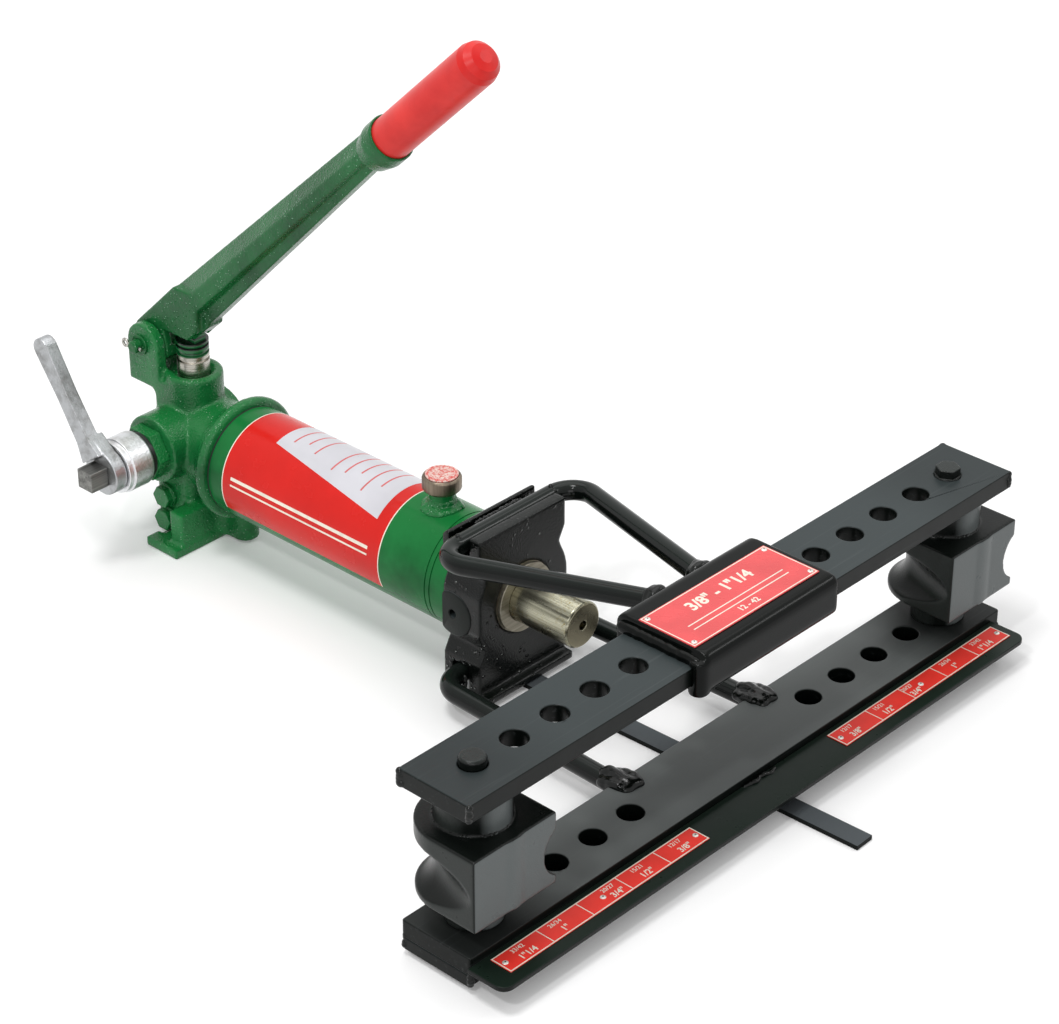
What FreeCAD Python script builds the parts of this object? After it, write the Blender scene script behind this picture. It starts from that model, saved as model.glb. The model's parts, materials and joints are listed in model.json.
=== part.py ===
"""Hydraulic pipe bender, open frame with a hand pump.

The pipe lies between two flat wings, against two swivelling support blocks.  A hand pump drives a ram
that pushes the bending former against the pipe.  Lengths are millimetres, angles are degrees.

Directions: +X is the way the ram travels, +Y runs along the wings, +Z is up and Z = 0 is the bench.
The model is laid out from the line of the wing holes, and moved at the end so that the origin lies
under the middle of the whole bender.
"""
import FreeCAD, Part
import math
import os

import Sketcher
from FreeCAD import Placement, Rotation, Vector

# Driving sizes, one cell each
SIZES = {
    # wings, the two flat bars that hold the pins
    "wing_length": 596, "wing_width": 65, "wing_thick": 15, "wing_gap": 110,
    "underplate_thick": 10, "underplate_width": 62,
    "hole_dia": 20.2, "hole_pitch": 40, "first_hole": 100.5, "holes_per_side": 5, "edge_bevel": 1.2,
    # scale ledge in front of the lower wing, and its two scale plates
    "ledge_width": 34, "ledge_thick": 4, "ledge_drop": 6, "ledge_length": 589, "ledge_shift": -6.5,
    "ledge_corner": 9,
    "scale_length": 204, "scale_width": 19, "scale_thick": 0.8, "scale_inset": 5,
    "scale_centre_left": -182, "scale_centre_right": 178,
    # front leg, a flat strip on the bench
    "strip_width": 18, "strip_thick": 4, "strip_start": -245, "strip_end": 123, "strip_turn": 1.8,
    "strip_side": 2.6,
    # sleeve round the upper wing
    "sleeve_front": 42, "sleeve_back": 44, "sleeve_roof": 11, "sleeve_floor": 8, "sleeve_length": 145,
    "sleeve_shift": 2.5, "sleeve_corner": 8, "lug_radius": 8,
    "badge_length": 137, "badge_width": 52, "badge_thick": 1, "badge_shift": 2,
    "rivet_radius": 2.4, "rivet_crown": 1.3, "rivet_height": 1, "rivet_inset": 4.5,
    # tie rods, two bent round bars from the head to the wings
    "rod_dia": 16, "rod_bend": 20, "rod_seat": 0.25,
    "upper_rod_x": -217.8, "upper_rod_z": 138.2, "upper_rod_half": 78.8, "upper_rod_end": 23.6,
    "upper_rod_rise": 13.4,
    "lower_rod_x": -220, "lower_rod_z": 22.5, "lower_rod_half": 70, "lower_rod_end": 76.2,
    # ram head, the casting that joins rods, cylinder and tank
    "ram_level": 79, "head_back": -237.5, "head_depth": 38.5, "head_half": 47.6, "head_top": 146,
    "head_bulge": 50, "head_notch": 41, "notch_rise": 31, "notch_height": 12, "bulge_rise": 13,
    "head_lip": 9, "head_lip_height": 7, "ridge_thick": 7, "ridge_drop": 2.5, "ridge_bevel": 4,
    "side_flat": 47.5, "grub_dia": 8, "grub_length": 12, "grub_x": -227, "grub_drop": 6,
    "grub_socket": 4,
    # cylinder, gland and ram
    "cylinder_outer": 58, "cylinder_bore": 44, "fit_gap": 0.05,
    "gland_flange": 3.5, "gland_dia": 57, "gland_depth": 26,
    "ram_dia": 38, "ram_nose": -137.5, "ram_tail": -392, "ram_chamfer": 1.5, "nose_hole_dia": 8,
    "nose_hole_depth": 10, "ram_bore_dia": 24, "ram_bore_end": -165,
    "piston_front": -358, "piston_length": 26, "piston_neck": 30, "piston_groove": 6,
    "seal_depth": 3,
    "wiper_start": -206, "wiper_length": 5, "wiper_depth": 1.8,
    "spring_coil": 18, "spring_wire": 3, "spring_turns": 12,
    # oil tank
    "tank_outer": 92, "tank_wall": 3, "gasket_thick": 1.5, "groove_width": 1.2, "groove_depth": 0.8,
    "groove_first": 14.5, "groove_step": 5,
    "filler_x": -284, "neck_outer": 20, "neck_bore": 14, "neck_top": 138, "cap_dia": 31,
    "cap_height": 13, "cap_gasket_thick": 1, "cap_spigot": 13, "disc_dia": 26, "disc_thick": 0.8,
    # pump body
    "flange_face": -505, "flange_dia": 105, "flange_thick": 9, "flange_rim": 2.8, "barrel_dia": 76,
    "barrel_end": -598, "spigot_length": 15,
    "plunger_x": -568, "boss_dia": 48, "boss_top": 140, "boss_bevel": 2, "recess_dia": 33,
    "recess_depth": 3,
    "fulcrum_x": -605, "fulcrum_z": 158, "ear_radius": 18.5, "ear_shift": 2, "ear_half": 24,
    "ear_gap": 14, "ear_low": 122, "ear_corner": -594, "slot_floor": 132, "slot_end": -564,
    "valve_z": 84.5, "valve_boss_dia": 58, "valve_face": 50, "valve_back": 30,
    "column_half": 36, "column_back": -584, "column_front": -541, "column_low": 2, "column_top": 76,
    "column_corner": 8,
    "foot_back": -567, "foot_front": -530, "foot_half": 63, "foot_thick": 8,
    "web_half": 54.5, "web_top": 37, "web_back": -546, "web_front": -531, "web_fillet": 9,
    "toe_x": -514, "toe_half": 11, "toe_low": 3, "toe_top": 30, "rib_top": 45,
    "plug_hex": 17, "plug_head": 9, "plug_collar": 3, "plug_collar_dia": 21, "plug_thread": 10,
    "plug_depth": 12, "plug_bore_depth": 26,
    "plug_upper_z": 37, "plug_lower_z": 15.5, "plug_x": -567, "ball_dia": 7, "ball_spring_dia": 6,
    # plunger and its link to the lever
    "plunger_dia": 27, "plunger_low": 98, "plunger_shoulder": 168, "running_gap": 0.05,
    "plunger_bore_low": 77, "plunger_groove": 1.6, "groove_pitch": 6.5, "groove_height": 2.6,
    "tongue_width": 20, "tongue_thick": 12, "tongue_height": 31, "link_rise": 22, "link_dia": 10,
    "link_length": 22, "seal_low": 104, "seal_height": 4,
    # lever
    "lever_angle": 43.3, "lever_length": 510, "eye_radius": 20, "lever_half": 13.7, "pivot_dia": 11,
    "root_reach": 80, "root_high": 21, "root_low": 20.7, "heel_reach": 76, "heel_low": 22.3,
    "heel_half": 8, "beam_start": 60, "beam_high": 21.6, "beam_brow": 6.6, "beam_flange": 7.6,
    "beam_low": 20.8, "beam_ridge": 4, "beam_web": 6, "beam_slope": 2.5,
    "tip_high": 16.2, "tip_brow": 4.3, "tip_flange": 2.7, "tip_low": 10.8, "tip_half": 12,
    "ring_start": 352, "ring_length": 27, "ring_dia": 38,
    "grip_dia": 34, "grip_sunk": 12, "grip_nose": 12,
    "pin_reach": 33.5, "pin_head_thick": 3, "pin_head_dia": 17, "washer_thick": 2, "washer_dia": 18,
    "split_dia": 3, "split_place": 30, "split_length": 17, "split_eye": 3, "split_wire": 1.2,
    # release valve
    "nut_hex": 41, "nut_height": 11, "nut_spigot": 16, "ring_height": 4.5, "valve_ring_dia": 40,
    "collar_length": 26, "collar_dia": 46.6, "collar_step": 5, "hub_dia": 38, "arm_thick": 11.5,
    "spindle_dia": 12, "square_side": 17, "square_length": 17.5, "arm_reach": 110.5,
    "arm_angle": 123, "arm_tip": 9, "arm_waist": 7.3, "arm_rim": 2, "arm_recess": 1,
    "arm_step": 4.5,
    "hub_gap": 0.5, "valve_bore": 20, "valve_bore_depth": 32,
    "seat_dia": 5, "needle_length": 4, "needle_tip": 2, "valve_seal_thick": 2,
    # support blocks and their pins
    "block_front": 39, "block_radius": 40, "block_low": 54, "block_high": 113, "hub_radius": 27,
    "hub_low_radius": 21, "block_play": 0.15, "pipe_radius": 21.5, "groove_level": 79.5, "flare_left": 18,
    "flare_right": 2.2, "pin_dia": 20, "pin_above": 7, "pin_crown": 2.5, "pin_hex": 18,
}

FLAT = Rotation()
TO_Y = Rotation(Vector(0, 0, 1), 90)
TO_Z = Rotation(Vector(0, 1, 0), -90)

doc = FreeCAD.newDocument("PipeBender")
sheet = doc.addObject("Spreadsheet::Sheet", "Sizes")


class Size(float):
    """A number that remembers the cells it was worked out from."""

    def __new__(cls, number, link):
        made = super().__new__(cls, number)
        made.link = link
        return made

    def __add__(self, other):
        return Size(float(self) + float(other), f"({link_of(self)} + {link_of(other)})")

    def __radd__(self, other):
        return Size(float(other) + float(self), f"({link_of(other)} + {link_of(self)})")

    def __sub__(self, other):
        return Size(float(self) - float(other), f"({link_of(self)} - {link_of(other)})")

    def __rsub__(self, other):
        return Size(float(other) - float(self), f"({link_of(other)} - {link_of(self)})")

    def __mul__(self, other):
        return Size(float(self) * float(other), f"({link_of(self)} * {link_of(other)})")

    def __rmul__(self, other):
        return Size(float(other) * float(self), f"({link_of(other)} * {link_of(self)})")

    def __truediv__(self, other):
        return Size(float(self) / float(other), f"({link_of(self)} / {link_of(other)})")

    def __neg__(self):
        return Size(-float(self), f"(0 - {link_of(self)})")


def link_of(value):
    """The expression behind a value, or the value itself as text."""
    if isinstance(value, Size):
        return value.link
    return repr(float(value))


def fill_sheet():
    """Write every driving size to its own cell and return them by name."""
    cells = {}
    for row, (name, number) in enumerate(SIZES.items(), 1):
        sheet.set(f"A{row}", name)
        sheet.set(f"B{row}", str(number))
        sheet.setAlias(f"B{row}", name)
        cells[name] = Size(number, f"Sizes.{name}")
    doc.recompute()
    return type("Cells", (), cells)


s = fill_sheet()
nodes = {}


def sine(angle):
    """Sine of an angle in degrees, still tied to its cell."""
    return Size(math.sin(math.radians(angle)), f"sin({link_of(angle)} * 1deg)")


def cosine(angle):
    """Cosine of an angle in degrees, still tied to its cell."""
    return Size(math.cos(math.radians(angle)), f"cos({link_of(angle)} * 1deg)")


def tie(thing, slot, value):
    """Tie one property of an object to the cells behind a value."""
    if isinstance(value, Size):
        thing.setExpression(slot, value.link)


def put(thing, at, turn=FLAT):
    """Place an object, with each coordinate tied to its cells."""
    thing.Placement = Placement(Vector(*[float(part) for part in at]), turn)
    for letter, value in zip("xyz", at):
        tie(thing, f"Placement.Base.{letter}", value)
    return thing


def keep(name, thing):
    """Name a finished piece; its label is also the name of its file."""
    thing.Label = name
    nodes[name] = thing
    return thing


# Primitives and booleans
def box(low, span, turn=FLAT):
    """A block from its low corner and its three spans."""
    made = doc.addObject("Part::Box", "Block")
    for slot, value in zip(("Length", "Width", "Height"), span):
        setattr(made, slot, float(value))
        tie(made, slot, value)
    return put(made, low, turn)


def rod(start, radius, length, axis="Z", turn=None):
    """A round bar from the middle of its low end along an axis."""
    turns = {"X": Rotation(Vector(0, 1, 0), 90), "Y": Rotation(Vector(1, 0, 0), -90), "Z": FLAT}
    made = doc.addObject("Part::Cylinder", "Bar")
    made.Radius = float(radius)
    made.Height = float(length)
    tie(made, "Radius", radius)
    tie(made, "Height", length)
    return put(made, start, turn or turns[axis])


def fused(*parts):
    """One solid from several that overlap."""
    made = doc.addObject("Part::MultiFuse", "Joined")
    made.Shapes = list(parts)
    made.Refine = True
    return made


def without(base, *tools):
    """A solid with others taken out of it; each tool has to take something away."""
    made = base
    for tool in tools:
        before = made
        made = doc.addObject("Part::Cut", "Trimmed")
        made.Base = before
        made.Tool = tool
        doc.recompute()
        if not made.Shape.Volume < before.Shape.Volume - 1e-3:
            raise RuntimeError(f"nothing was cut by {tool.Name}")
    return made


def group(name, parts):
    """Identical small pieces that share one file as separate solids."""
    made = doc.addObject("Part::Compound", "Group")
    made.Links = parts
    return keep(name, made)


# Bodies, sketches and features
def new_body(at=(0, 0, 0), turn=FLAT):
    """An empty body at a place."""
    return put(doc.addObject("PartDesign::Body", "Body"), at, turn)


def plane_of(body, role):
    """One of a body's own origin planes."""
    return next(part for part in body.Origin.OriginFeatures if part.Role == role)


def new_sketch(body, role, lift=0):
    """A sketch on an origin plane, lifted along the plane's normal."""
    made = body.newObject("Sketcher::SketchObject", "Sketch")
    made.AttachmentSupport = [(plane_of(body, role), "")]
    made.MapMode = "FlatFace"
    made.AttachmentOffset = Placement(Vector(0, 0, float(lift)), FLAT)
    tie(made, "AttachmentOffset.Base.z", lift)
    return made


def pin_point(sketch, edge, end, point):
    """Hold one end of an edge at a place that follows its cells."""
    for kind, value in zip(("DistanceX", "DistanceY"), point):
        rule = Sketcher.Constraint(kind, -1, 1, edge, end, float(value))
        number = sketch.addConstraint(rule)
        tie(sketch, f"Constraints[{number}]", value)


def polygon(sketch, points):
    """A closed outline of straight edges."""
    corners = [Vector(float(u), float(v), 0) for u, v in points]
    first = sketch.GeometryCount
    for here, there in zip(corners, corners[1:] + corners[:1]):
        sketch.addGeometry(Part.LineSegment(here, there))
    for step in range(len(points)):
        after = (step + 1) % len(points)
        sketch.addConstraint(Sketcher.Constraint("Coincident", first + step, 2, first + after, 1))
        pin_point(sketch, first + step, 1, points[step])
    return sketch


def circle(sketch, radius, centre=(0, 0)):
    """A full circle."""
    middle = Vector(float(centre[0]), float(centre[1]), 0)
    number = sketch.addGeometry(Part.Circle(middle, Vector(0, 0, 1), float(radius)))
    rule = sketch.addConstraint(Sketcher.Constraint("Radius", number, float(radius)))
    tie(sketch, f"Constraints[{rule}]", radius)
    pin_point(sketch, number, 3, centre)
    return sketch


def pad(body, sketch, length, back=False):
    """Raise a sketch along its normal, or against it."""
    made = body.newObject("PartDesign::Pad", "Pad")
    made.Profile = sketch
    made.Length = float(length)
    tie(made, "Length", length)
    made.Reversed = back
    return made


def pocket(body, sketch, depth=None, back=False):
    """Cut a sketch into the body, right through unless a depth is given."""
    doc.recompute()
    before = body.Shape.Volume
    made = body.newObject("PartDesign::Pocket", "Pocket")
    made.Profile = sketch
    made.Reversed = back
    if depth is None:
        made.Type = "ThroughAll"
    else:
        made.Length = float(depth)
        tie(made, "Length", depth)
    doc.recompute()
    if not body.Shape.Volume < before - 1e-3:
        raise RuntimeError(f"nothing was cut by {made.Name}")
    return made


def turned(profile, at, axis="X"):
    """A round piece; its profile is (place along the axis, radius), from the given place."""
    turns = {"X": FLAT, "Y": TO_Y, "Z": TO_Z}
    body = new_body(at, turns[axis])
    outline = polygon(new_sketch(body, "XZ_Plane"), profile)
    made = body.newObject("PartDesign::Revolution", "Turned")
    made.Profile = outline
    made.ReferenceAxis = (outline, ["H_Axis"])
    made.Angle = 360
    return body


def edges_where(shape, test):
    """The names of a shape's edges that pass a test."""
    return [f"Edge{number}" for number, edge in enumerate(shape.Edges, 1) if test(edge)]


def along(edge, axis):
    """Whether a straight edge runs along an axis."""
    if not isinstance(edge.Curve, Part.Line):
        return False
    return abs(abs(getattr(edge.Curve.Direction, axis)) - 1) < 1e-6


def rounded(body, size, test, kind="Fillet"):
    """Round or bevel the edges that pass a test."""
    doc.recompute()
    made = body.newObject(f"PartDesign::{kind}", kind)
    base = body.Group[-2]
    made.Base = (base, edges_where(base.Shape, test))
    slot = "Radius" if kind == "Fillet" else "Size"
    setattr(made, slot, float(size))
    tie(made, slot, size)
    return made


# Levels and places that several pieces share
level_plate = s.strip_thick
level_lower = level_plate + s.underplate_thick
level_gap = level_lower + s.wing_thick
level_upper = level_gap + s.wing_gap
level_top = level_upper + s.wing_thick
ledge_level = level_gap - s.ledge_drop
pin_place = s.first_hole + s.hole_pitch * (s.holes_per_side - 1)
head_front = s.head_back + s.head_depth
sleeve_left = s.sleeve_shift - s.sleeve_length / 2
lever_turn = Rotation(Vector(0, 1, 0), -float(s.lever_angle))
link_level = s.plunger_shoulder + s.link_rise
lever_arm = s.plunger_x - s.fulcrum_x


def wing_bar(name, level):
    """A flat bar with a row of pin holes on each side of its middle."""
    body = new_body((0, 0, level))
    half_width = s.wing_width / 2
    half_length = s.wing_length / 2
    outline = [(-half_width, -half_length), (half_width, -half_length),
               (half_width, half_length), (-half_width, half_length)]
    pad(body, polygon(new_sketch(body, "XY_Plane"), outline), s.wing_thick)
    rounded(body, s.edge_bevel, lambda edge: along(edge, "z"), "Chamfer")
    for side in (1, -1):
        outline = circle(new_sketch(body, "XY_Plane"), s.hole_dia / 2, (0, side * s.first_hole))
        hole = pocket(body, outline, back=True)
        row = body.newObject("PartDesign::LinearPattern", "Row")
        row.Originals = [hole]
        row.Direction = (outline, ["V_Axis"])
        row.Reversed = side < 0
        tie(row, "Length", s.hole_pitch * (s.holes_per_side - 1))
        row.Occurrences = int(s.holes_per_side)
        body.Tip = row
    return keep(name, body)


def underplate():
    """The plate welded under the lower wing."""
    low = (-s.underplate_width / 2, -s.wing_length / 2, level_plate)
    return keep("lower_wing_plate", box(low, (s.underplate_width, s.wing_length, s.underplate_thick)))


def scale_ledge():
    """The flat bar in front of the lower wing, round at its outer corners."""
    body = new_body((s.wing_width / 2, s.ledge_shift, ledge_level - s.ledge_thick))
    half = s.ledge_length / 2
    outline = [(0, -half), (s.ledge_width, -half), (s.ledge_width, half), (0, half)]
    pad(body, polygon(new_sketch(body, "XY_Plane"), outline), s.ledge_thick)
    rounded(body, s.ledge_corner, lambda edge: along(edge, "z") and edge.CenterOfMass.x > 1)
    return keep("scale_ledge", body)


def rivet(x, y, z):
    """A low rivet head."""
    made = doc.addObject("Part::Cone", "Rivet")
    for slot, value in (("Radius1", s.rivet_radius), ("Radius2", s.rivet_crown),
                        ("Height", s.rivet_height)):
        setattr(made, slot, float(value))
        tie(made, slot, value)
    return put(made, (x, y, z))


def scale_plates():
    """Two thin scale plates on the ledge, each with three rivets."""
    low_x = s.wing_width / 2 + s.scale_inset
    centres = {"scale_plate_left": s.scale_centre_left, "scale_plate_right": s.scale_centre_right}
    rivets = []
    for name, centre in centres.items():
        low = (low_x, centre - s.scale_length / 2, ledge_level)
        keep(name, box(low, (s.scale_width, s.scale_length, s.scale_thick)))
        for place in (-1, 0, 1):
            y = centre + place * (s.scale_length / 2 - s.rivet_inset)
            rivets.append(rivet(low_x + s.scale_width / 2, y, ledge_level + s.scale_thick))
    group("scale_rivets", rivets)


def front_leg():
    """The long flat strip that the head and the lower wing stand on, welded a little askew."""
    turn = Rotation(Vector(0, 0, 1), float(s.strip_turn))
    low = (s.strip_start, s.strip_side - s.strip_width / 2, 0)
    span = (s.strip_end - s.strip_start, s.strip_width, s.strip_thick)
    return keep("front_leg", box(low, span, turn))


def wing_sleeve():
    """The thick sleeve round the upper wing, with a round lug at one corner."""
    body = new_body((0, sleeve_left, level_upper))
    roof = s.wing_thick + s.sleeve_roof
    outline = [(-s.sleeve_back, -s.sleeve_floor), (s.sleeve_front, -s.sleeve_floor),
               (s.sleeve_front, roof), (-s.sleeve_back, roof)]
    pad(body, polygon(new_sketch(body, "XZ_Plane"), outline), s.sleeve_length, back=True)
    rounded(body, s.sleeve_corner, lambda edge: along(edge, "y"))
    half = s.wing_width / 2
    window = [(-half, 0), (half, 0), (half, s.wing_thick), (-half, s.wing_thick)]
    pocket(body, polygon(new_sketch(body, "XZ_Plane"), window), back=False)
    lug = rod((s.sleeve_front - s.lug_radius, sleeve_left, level_upper - s.sleeve_floor), s.lug_radius,
              s.wing_thick + s.sleeve_floor + s.sleeve_roof / 2)
    wing = box((-half, sleeve_left - s.lug_radius, level_upper),
               (s.wing_width, 2 * s.lug_radius, s.wing_thick))
    return keep("wing_sleeve", fused(body, without(lug, wing)))


def badge():
    """The thin plate on the sleeve and its four rivets."""
    top = level_top + s.sleeve_roof
    low = (s.badge_shift - s.badge_width / 2, -s.badge_length / 2, top)
    keep("sleeve_plate", box(low, (s.badge_width, s.badge_length, s.badge_thick)))
    reach_x = s.badge_width / 2 - s.rivet_inset
    reach_y = s.badge_length / 2 - s.rivet_inset
    places = [(side, end) for side in (-1, 1) for end in (-1, 1)]
    group("sleeve_rivets", [rivet(s.badge_shift + side * reach_x, end * reach_y, top + s.badge_thick)
                            for side, end in places])


def bent_rod(name, corner, half, end, target, rise=0):
    """A round bar bent twice: a cross piece in the head, and two legs up to the target face."""
    run = target - corner[0]
    tilt = Rotation(Vector(0, 1, 0), -math.degrees(math.atan2(float(rise), float(run))))
    body = new_body(corner, tilt)
    section = circle(new_sketch(body, "XZ_Plane"), s.rod_dia / 2)
    path = new_sketch(body, "XY_Plane")
    slope = (float(end) - float(half)) / float(run)
    turn = math.pi / 2 - math.atan(slope)
    setback = float(s.rod_bend) * math.tan(turn / 2)
    reach = float(run) + 2 * float(s.rod_dia)
    leg = Vector(1, slope, 0).normalize()
    bend_start = Vector(0, float(half) - setback, 0)
    bend_end = Vector(0, float(half), 0) + leg * setback
    centre = Vector(float(s.rod_bend), float(half) - setback, 0)
    middle = centre + (Vector(0, float(half), 0) - centre).normalize() * float(s.rod_bend)
    leg_end = Vector(reach, float(half) + slope * reach, 0)
    path.addGeometry(Part.LineSegment(Vector(0, 0, 0), bend_start))
    path.addGeometry(Part.Arc(bend_start, middle, bend_end))
    path.addGeometry(Part.LineSegment(bend_end, leg_end))
    doc.recompute()
    pipe = body.newObject("PartDesign::AdditivePipe", "Pipe")
    pipe.Profile = section
    pipe.Spine = (path, [f"Edge{number + 1}" for number in range(len(path.Shape.Edges))])
    doc.recompute()
    other = body.newObject("PartDesign::Mirrored", "Mirrored")
    other.Originals = [pipe]
    other.MirrorPlane = (plane_of(body, "XZ_Plane"), [""])
    body.Tip = other
    past = box((target, -s.wing_length / 2, corner[2] - s.wing_gap / 2),
               (s.wing_length / 4, s.wing_length, s.wing_gap))
    return keep(name, without(body, past))


def head_outline():
    """Half of the head's front outline, from the foot up, as (side, height)."""
    low_notch = s.ram_level - s.notch_rise
    high_notch = s.ram_level + s.notch_rise
    bulge_side = s.head_bulge - 1.5
    return [(s.head_half, level_plate),
            (s.head_half, low_notch - s.notch_height), (s.head_notch, low_notch),
            (bulge_side, s.ram_level - s.bulge_rise), (bulge_side, s.ram_level + s.bulge_rise),
            (s.head_notch, high_notch), (s.head_half, high_notch + s.notch_height),
            (s.head_half, s.head_top)]


def ram_head():
    """The cast head: notched sides, a round middle, and a trough for each tie rod."""
    body = new_body()
    half = head_outline()
    outline = half + [(-side, height) for side, height in reversed(half)]
    pad(body, polygon(new_sketch(body, "YZ_Plane", s.head_back), outline), s.head_depth)
    bulge = circle(new_sketch(body, "YZ_Plane", s.head_back), s.head_bulge, (0, s.ram_level))
    pad(body, bulge, s.head_depth)
    lip_top = level_plate + s.head_lip_height
    lip = [(-s.head_half, level_plate), (s.head_half, level_plate), (s.head_half, lip_top),
           (-s.head_half, lip_top)]
    pad(body, polygon(new_sketch(body, "YZ_Plane", head_front), lip), s.head_lip)
    past = -s.head_bulge - 5
    flat = [(s.head_back - 1, past), (head_front + 1, past),
            (head_front + 1, -s.side_flat), (s.head_back - 1, -s.side_flat)]
    chord = new_sketch(body, "XY_Plane", s.ram_level - s.notch_rise)
    pocket(body, polygon(chord, flat), 2 * s.notch_rise, back=True)
    both_ways(body, upper_trough())
    reach = s.rod_dia / 2 + s.rod_seat
    trough = [(s.lower_rod_x - reach, level_plate - 1), (s.lower_rod_x + reach, level_plate - 1),
              (s.lower_rod_x + reach, s.lower_rod_z + reach),
              (s.lower_rod_x - reach, s.lower_rod_z + reach)]
    both_ways(body, trough)
    bore = circle(new_sketch(body, "YZ_Plane", s.head_back), s.cylinder_outer / 2 + s.fit_gap,
                  (0, s.ram_level))
    pocket(body, bore, back=True)
    grub = circle(new_sketch(body, "XZ_Plane"), s.grub_dia / 2 + s.fit_gap,
                  (s.grub_x, s.ram_level - s.grub_drop))
    pocket(body, grub, back=True)
    return keep("ram_head", body)


def upper_trough():
    """What is cut off the top of the head: the trough of the tie rod, and the bevel behind its ridge."""
    reach = s.rod_dia / 2 + s.rod_seat
    floor = s.upper_rod_z - reach
    ridge = s.head_top - s.ridge_drop
    trough_back = s.head_back + s.ridge_thick
    above = s.head_top + 1
    return [(s.head_back - 1, ridge - s.ridge_bevel - 1), (s.head_back + s.ridge_bevel, ridge),
            (trough_back, ridge), (trough_back, floor), (s.upper_rod_x + reach, floor),
            (s.upper_rod_x + reach, above), (s.head_back - 1, above)]


def both_ways(body, outline):
    """Cut an outline on the XZ plane right through to both sides."""
    made = pocket(body, polygon(new_sketch(body, "XZ_Plane"), outline))
    made.SideType = "Symmetric"
    doc.recompute()
    return made


def grub_screw():
    """The screw that locks the cylinder in the head."""
    reach = s.cylinder_outer / 2 + s.rod_seat
    body = new_body((s.grub_x, -reach, s.ram_level - s.grub_drop))
    pad(body, circle(new_sketch(body, "XZ_Plane"), s.grub_dia / 2), s.grub_length)
    top = new_sketch(body, "XZ_Plane", s.grub_length)
    pocket(body, polygon(top, hex_corners(s.grub_socket)), s.grub_length / 2)
    return keep("head_grub_screw", body)


def ram_parts():
    """Cylinder, gland, ram, piston and their seals, all round the ram's axis."""
    at = (0, 0, s.ram_level)
    ram_radius = s.ram_dia / 2
    bore = s.cylinder_bore / 2
    keep("ram_cylinder", turned([(s.flange_face, bore), (head_front, bore),
                                 (head_front, s.cylinder_outer / 2),
                                 (s.flange_face, s.cylinder_outer / 2)], at))
    slide = ram_radius + s.running_gap
    plug = bore - s.fit_gap
    wiper_end = s.wiper_start - s.wiper_length
    keep("gland_collar", turned([(head_front - s.gland_depth, slide), (wiper_end, slide),
                                 (wiper_end, slide + s.wiper_depth),
                                 (s.wiper_start, slide + s.wiper_depth),
                                 (s.wiper_start, slide), (head_front + s.gland_flange, slide),
                                 (head_front + s.gland_flange, s.gland_dia / 2),
                                 (head_front, s.gland_dia / 2), (head_front, plug),
                                 (head_front - s.gland_depth, plug)], at))
    keep("ram_wiper", turned([(wiper_end + s.fit_gap, slide), (s.wiper_start - s.fit_gap, slide),
                              (s.wiper_start - s.fit_gap, slide + s.wiper_depth - s.fit_gap),
                              (wiper_end + s.fit_gap, slide + s.wiper_depth - s.fit_gap)], at))
    neck = s.piston_neck / 2
    piston_back = s.piston_front - s.piston_length
    hole = s.ram_bore_dia / 2
    keep("ram", turned([(s.ram_tail, hole), (s.ram_bore_end, hole), (s.ram_bore_end, 0),
                        (s.ram_nose - s.nose_hole_depth, 0),
                        (s.ram_nose - s.nose_hole_depth, s.nose_hole_dia / 2),
                        (s.ram_nose, s.nose_hole_dia / 2), (s.ram_nose, ram_radius - s.ram_chamfer),
                        (s.ram_nose - s.ram_chamfer, ram_radius), (s.piston_front, ram_radius),
                        (s.piston_front, neck), (s.ram_tail, neck)], at))
    skirt = bore - s.running_gap
    groove_front = s.piston_front - s.piston_length / 2 + s.piston_groove / 2
    groove_back = groove_front - s.piston_groove
    floor = skirt - s.seal_depth
    keep("ram_piston", turned([(piston_back, neck + s.fit_gap), (s.piston_front, neck + s.fit_gap),
                               (s.piston_front, skirt), (groove_front, skirt), (groove_front, floor),
                               (groove_back, floor), (groove_back, skirt), (piston_back, skirt)], at))
    keep("piston_seal", turned([(groove_back + s.fit_gap, floor + s.fit_gap),
                                (groove_front - s.fit_gap, floor + s.fit_gap),
                                (groove_front - s.fit_gap, skirt), (groove_back + s.fit_gap, skirt)],
                               at))


def return_spring():
    """The spring inside the hollow ram, hooked between the pump body and the ram's nose."""
    turns = int(s.spring_turns)
    radius = float(s.spring_coil - s.spring_wire) / 2
    wire = float(s.spring_wire) / 2
    start = float(s.flange_face + s.spigot_length + s.rod_seat) + wire
    length = float(s.ram_bore_end - s.rod_seat) - wire - start
    helix = Part.makeHelix(length / turns, length, radius)
    section = Part.Wire(Part.makeCircle(wire, Vector(radius, 0, 0), Vector(0, 1, 0)))
    coil = Part.Wire(helix).makePipeShell([section], True, True)
    made = doc.addObject("Part::Feature", "Coil")
    made.Shape = coil
    made.Placement = Placement(Vector(start, 0, float(s.ram_level)), Rotation(Vector(0, 1, 0), 90))
    return keep("ram_return_spring", made)


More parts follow.
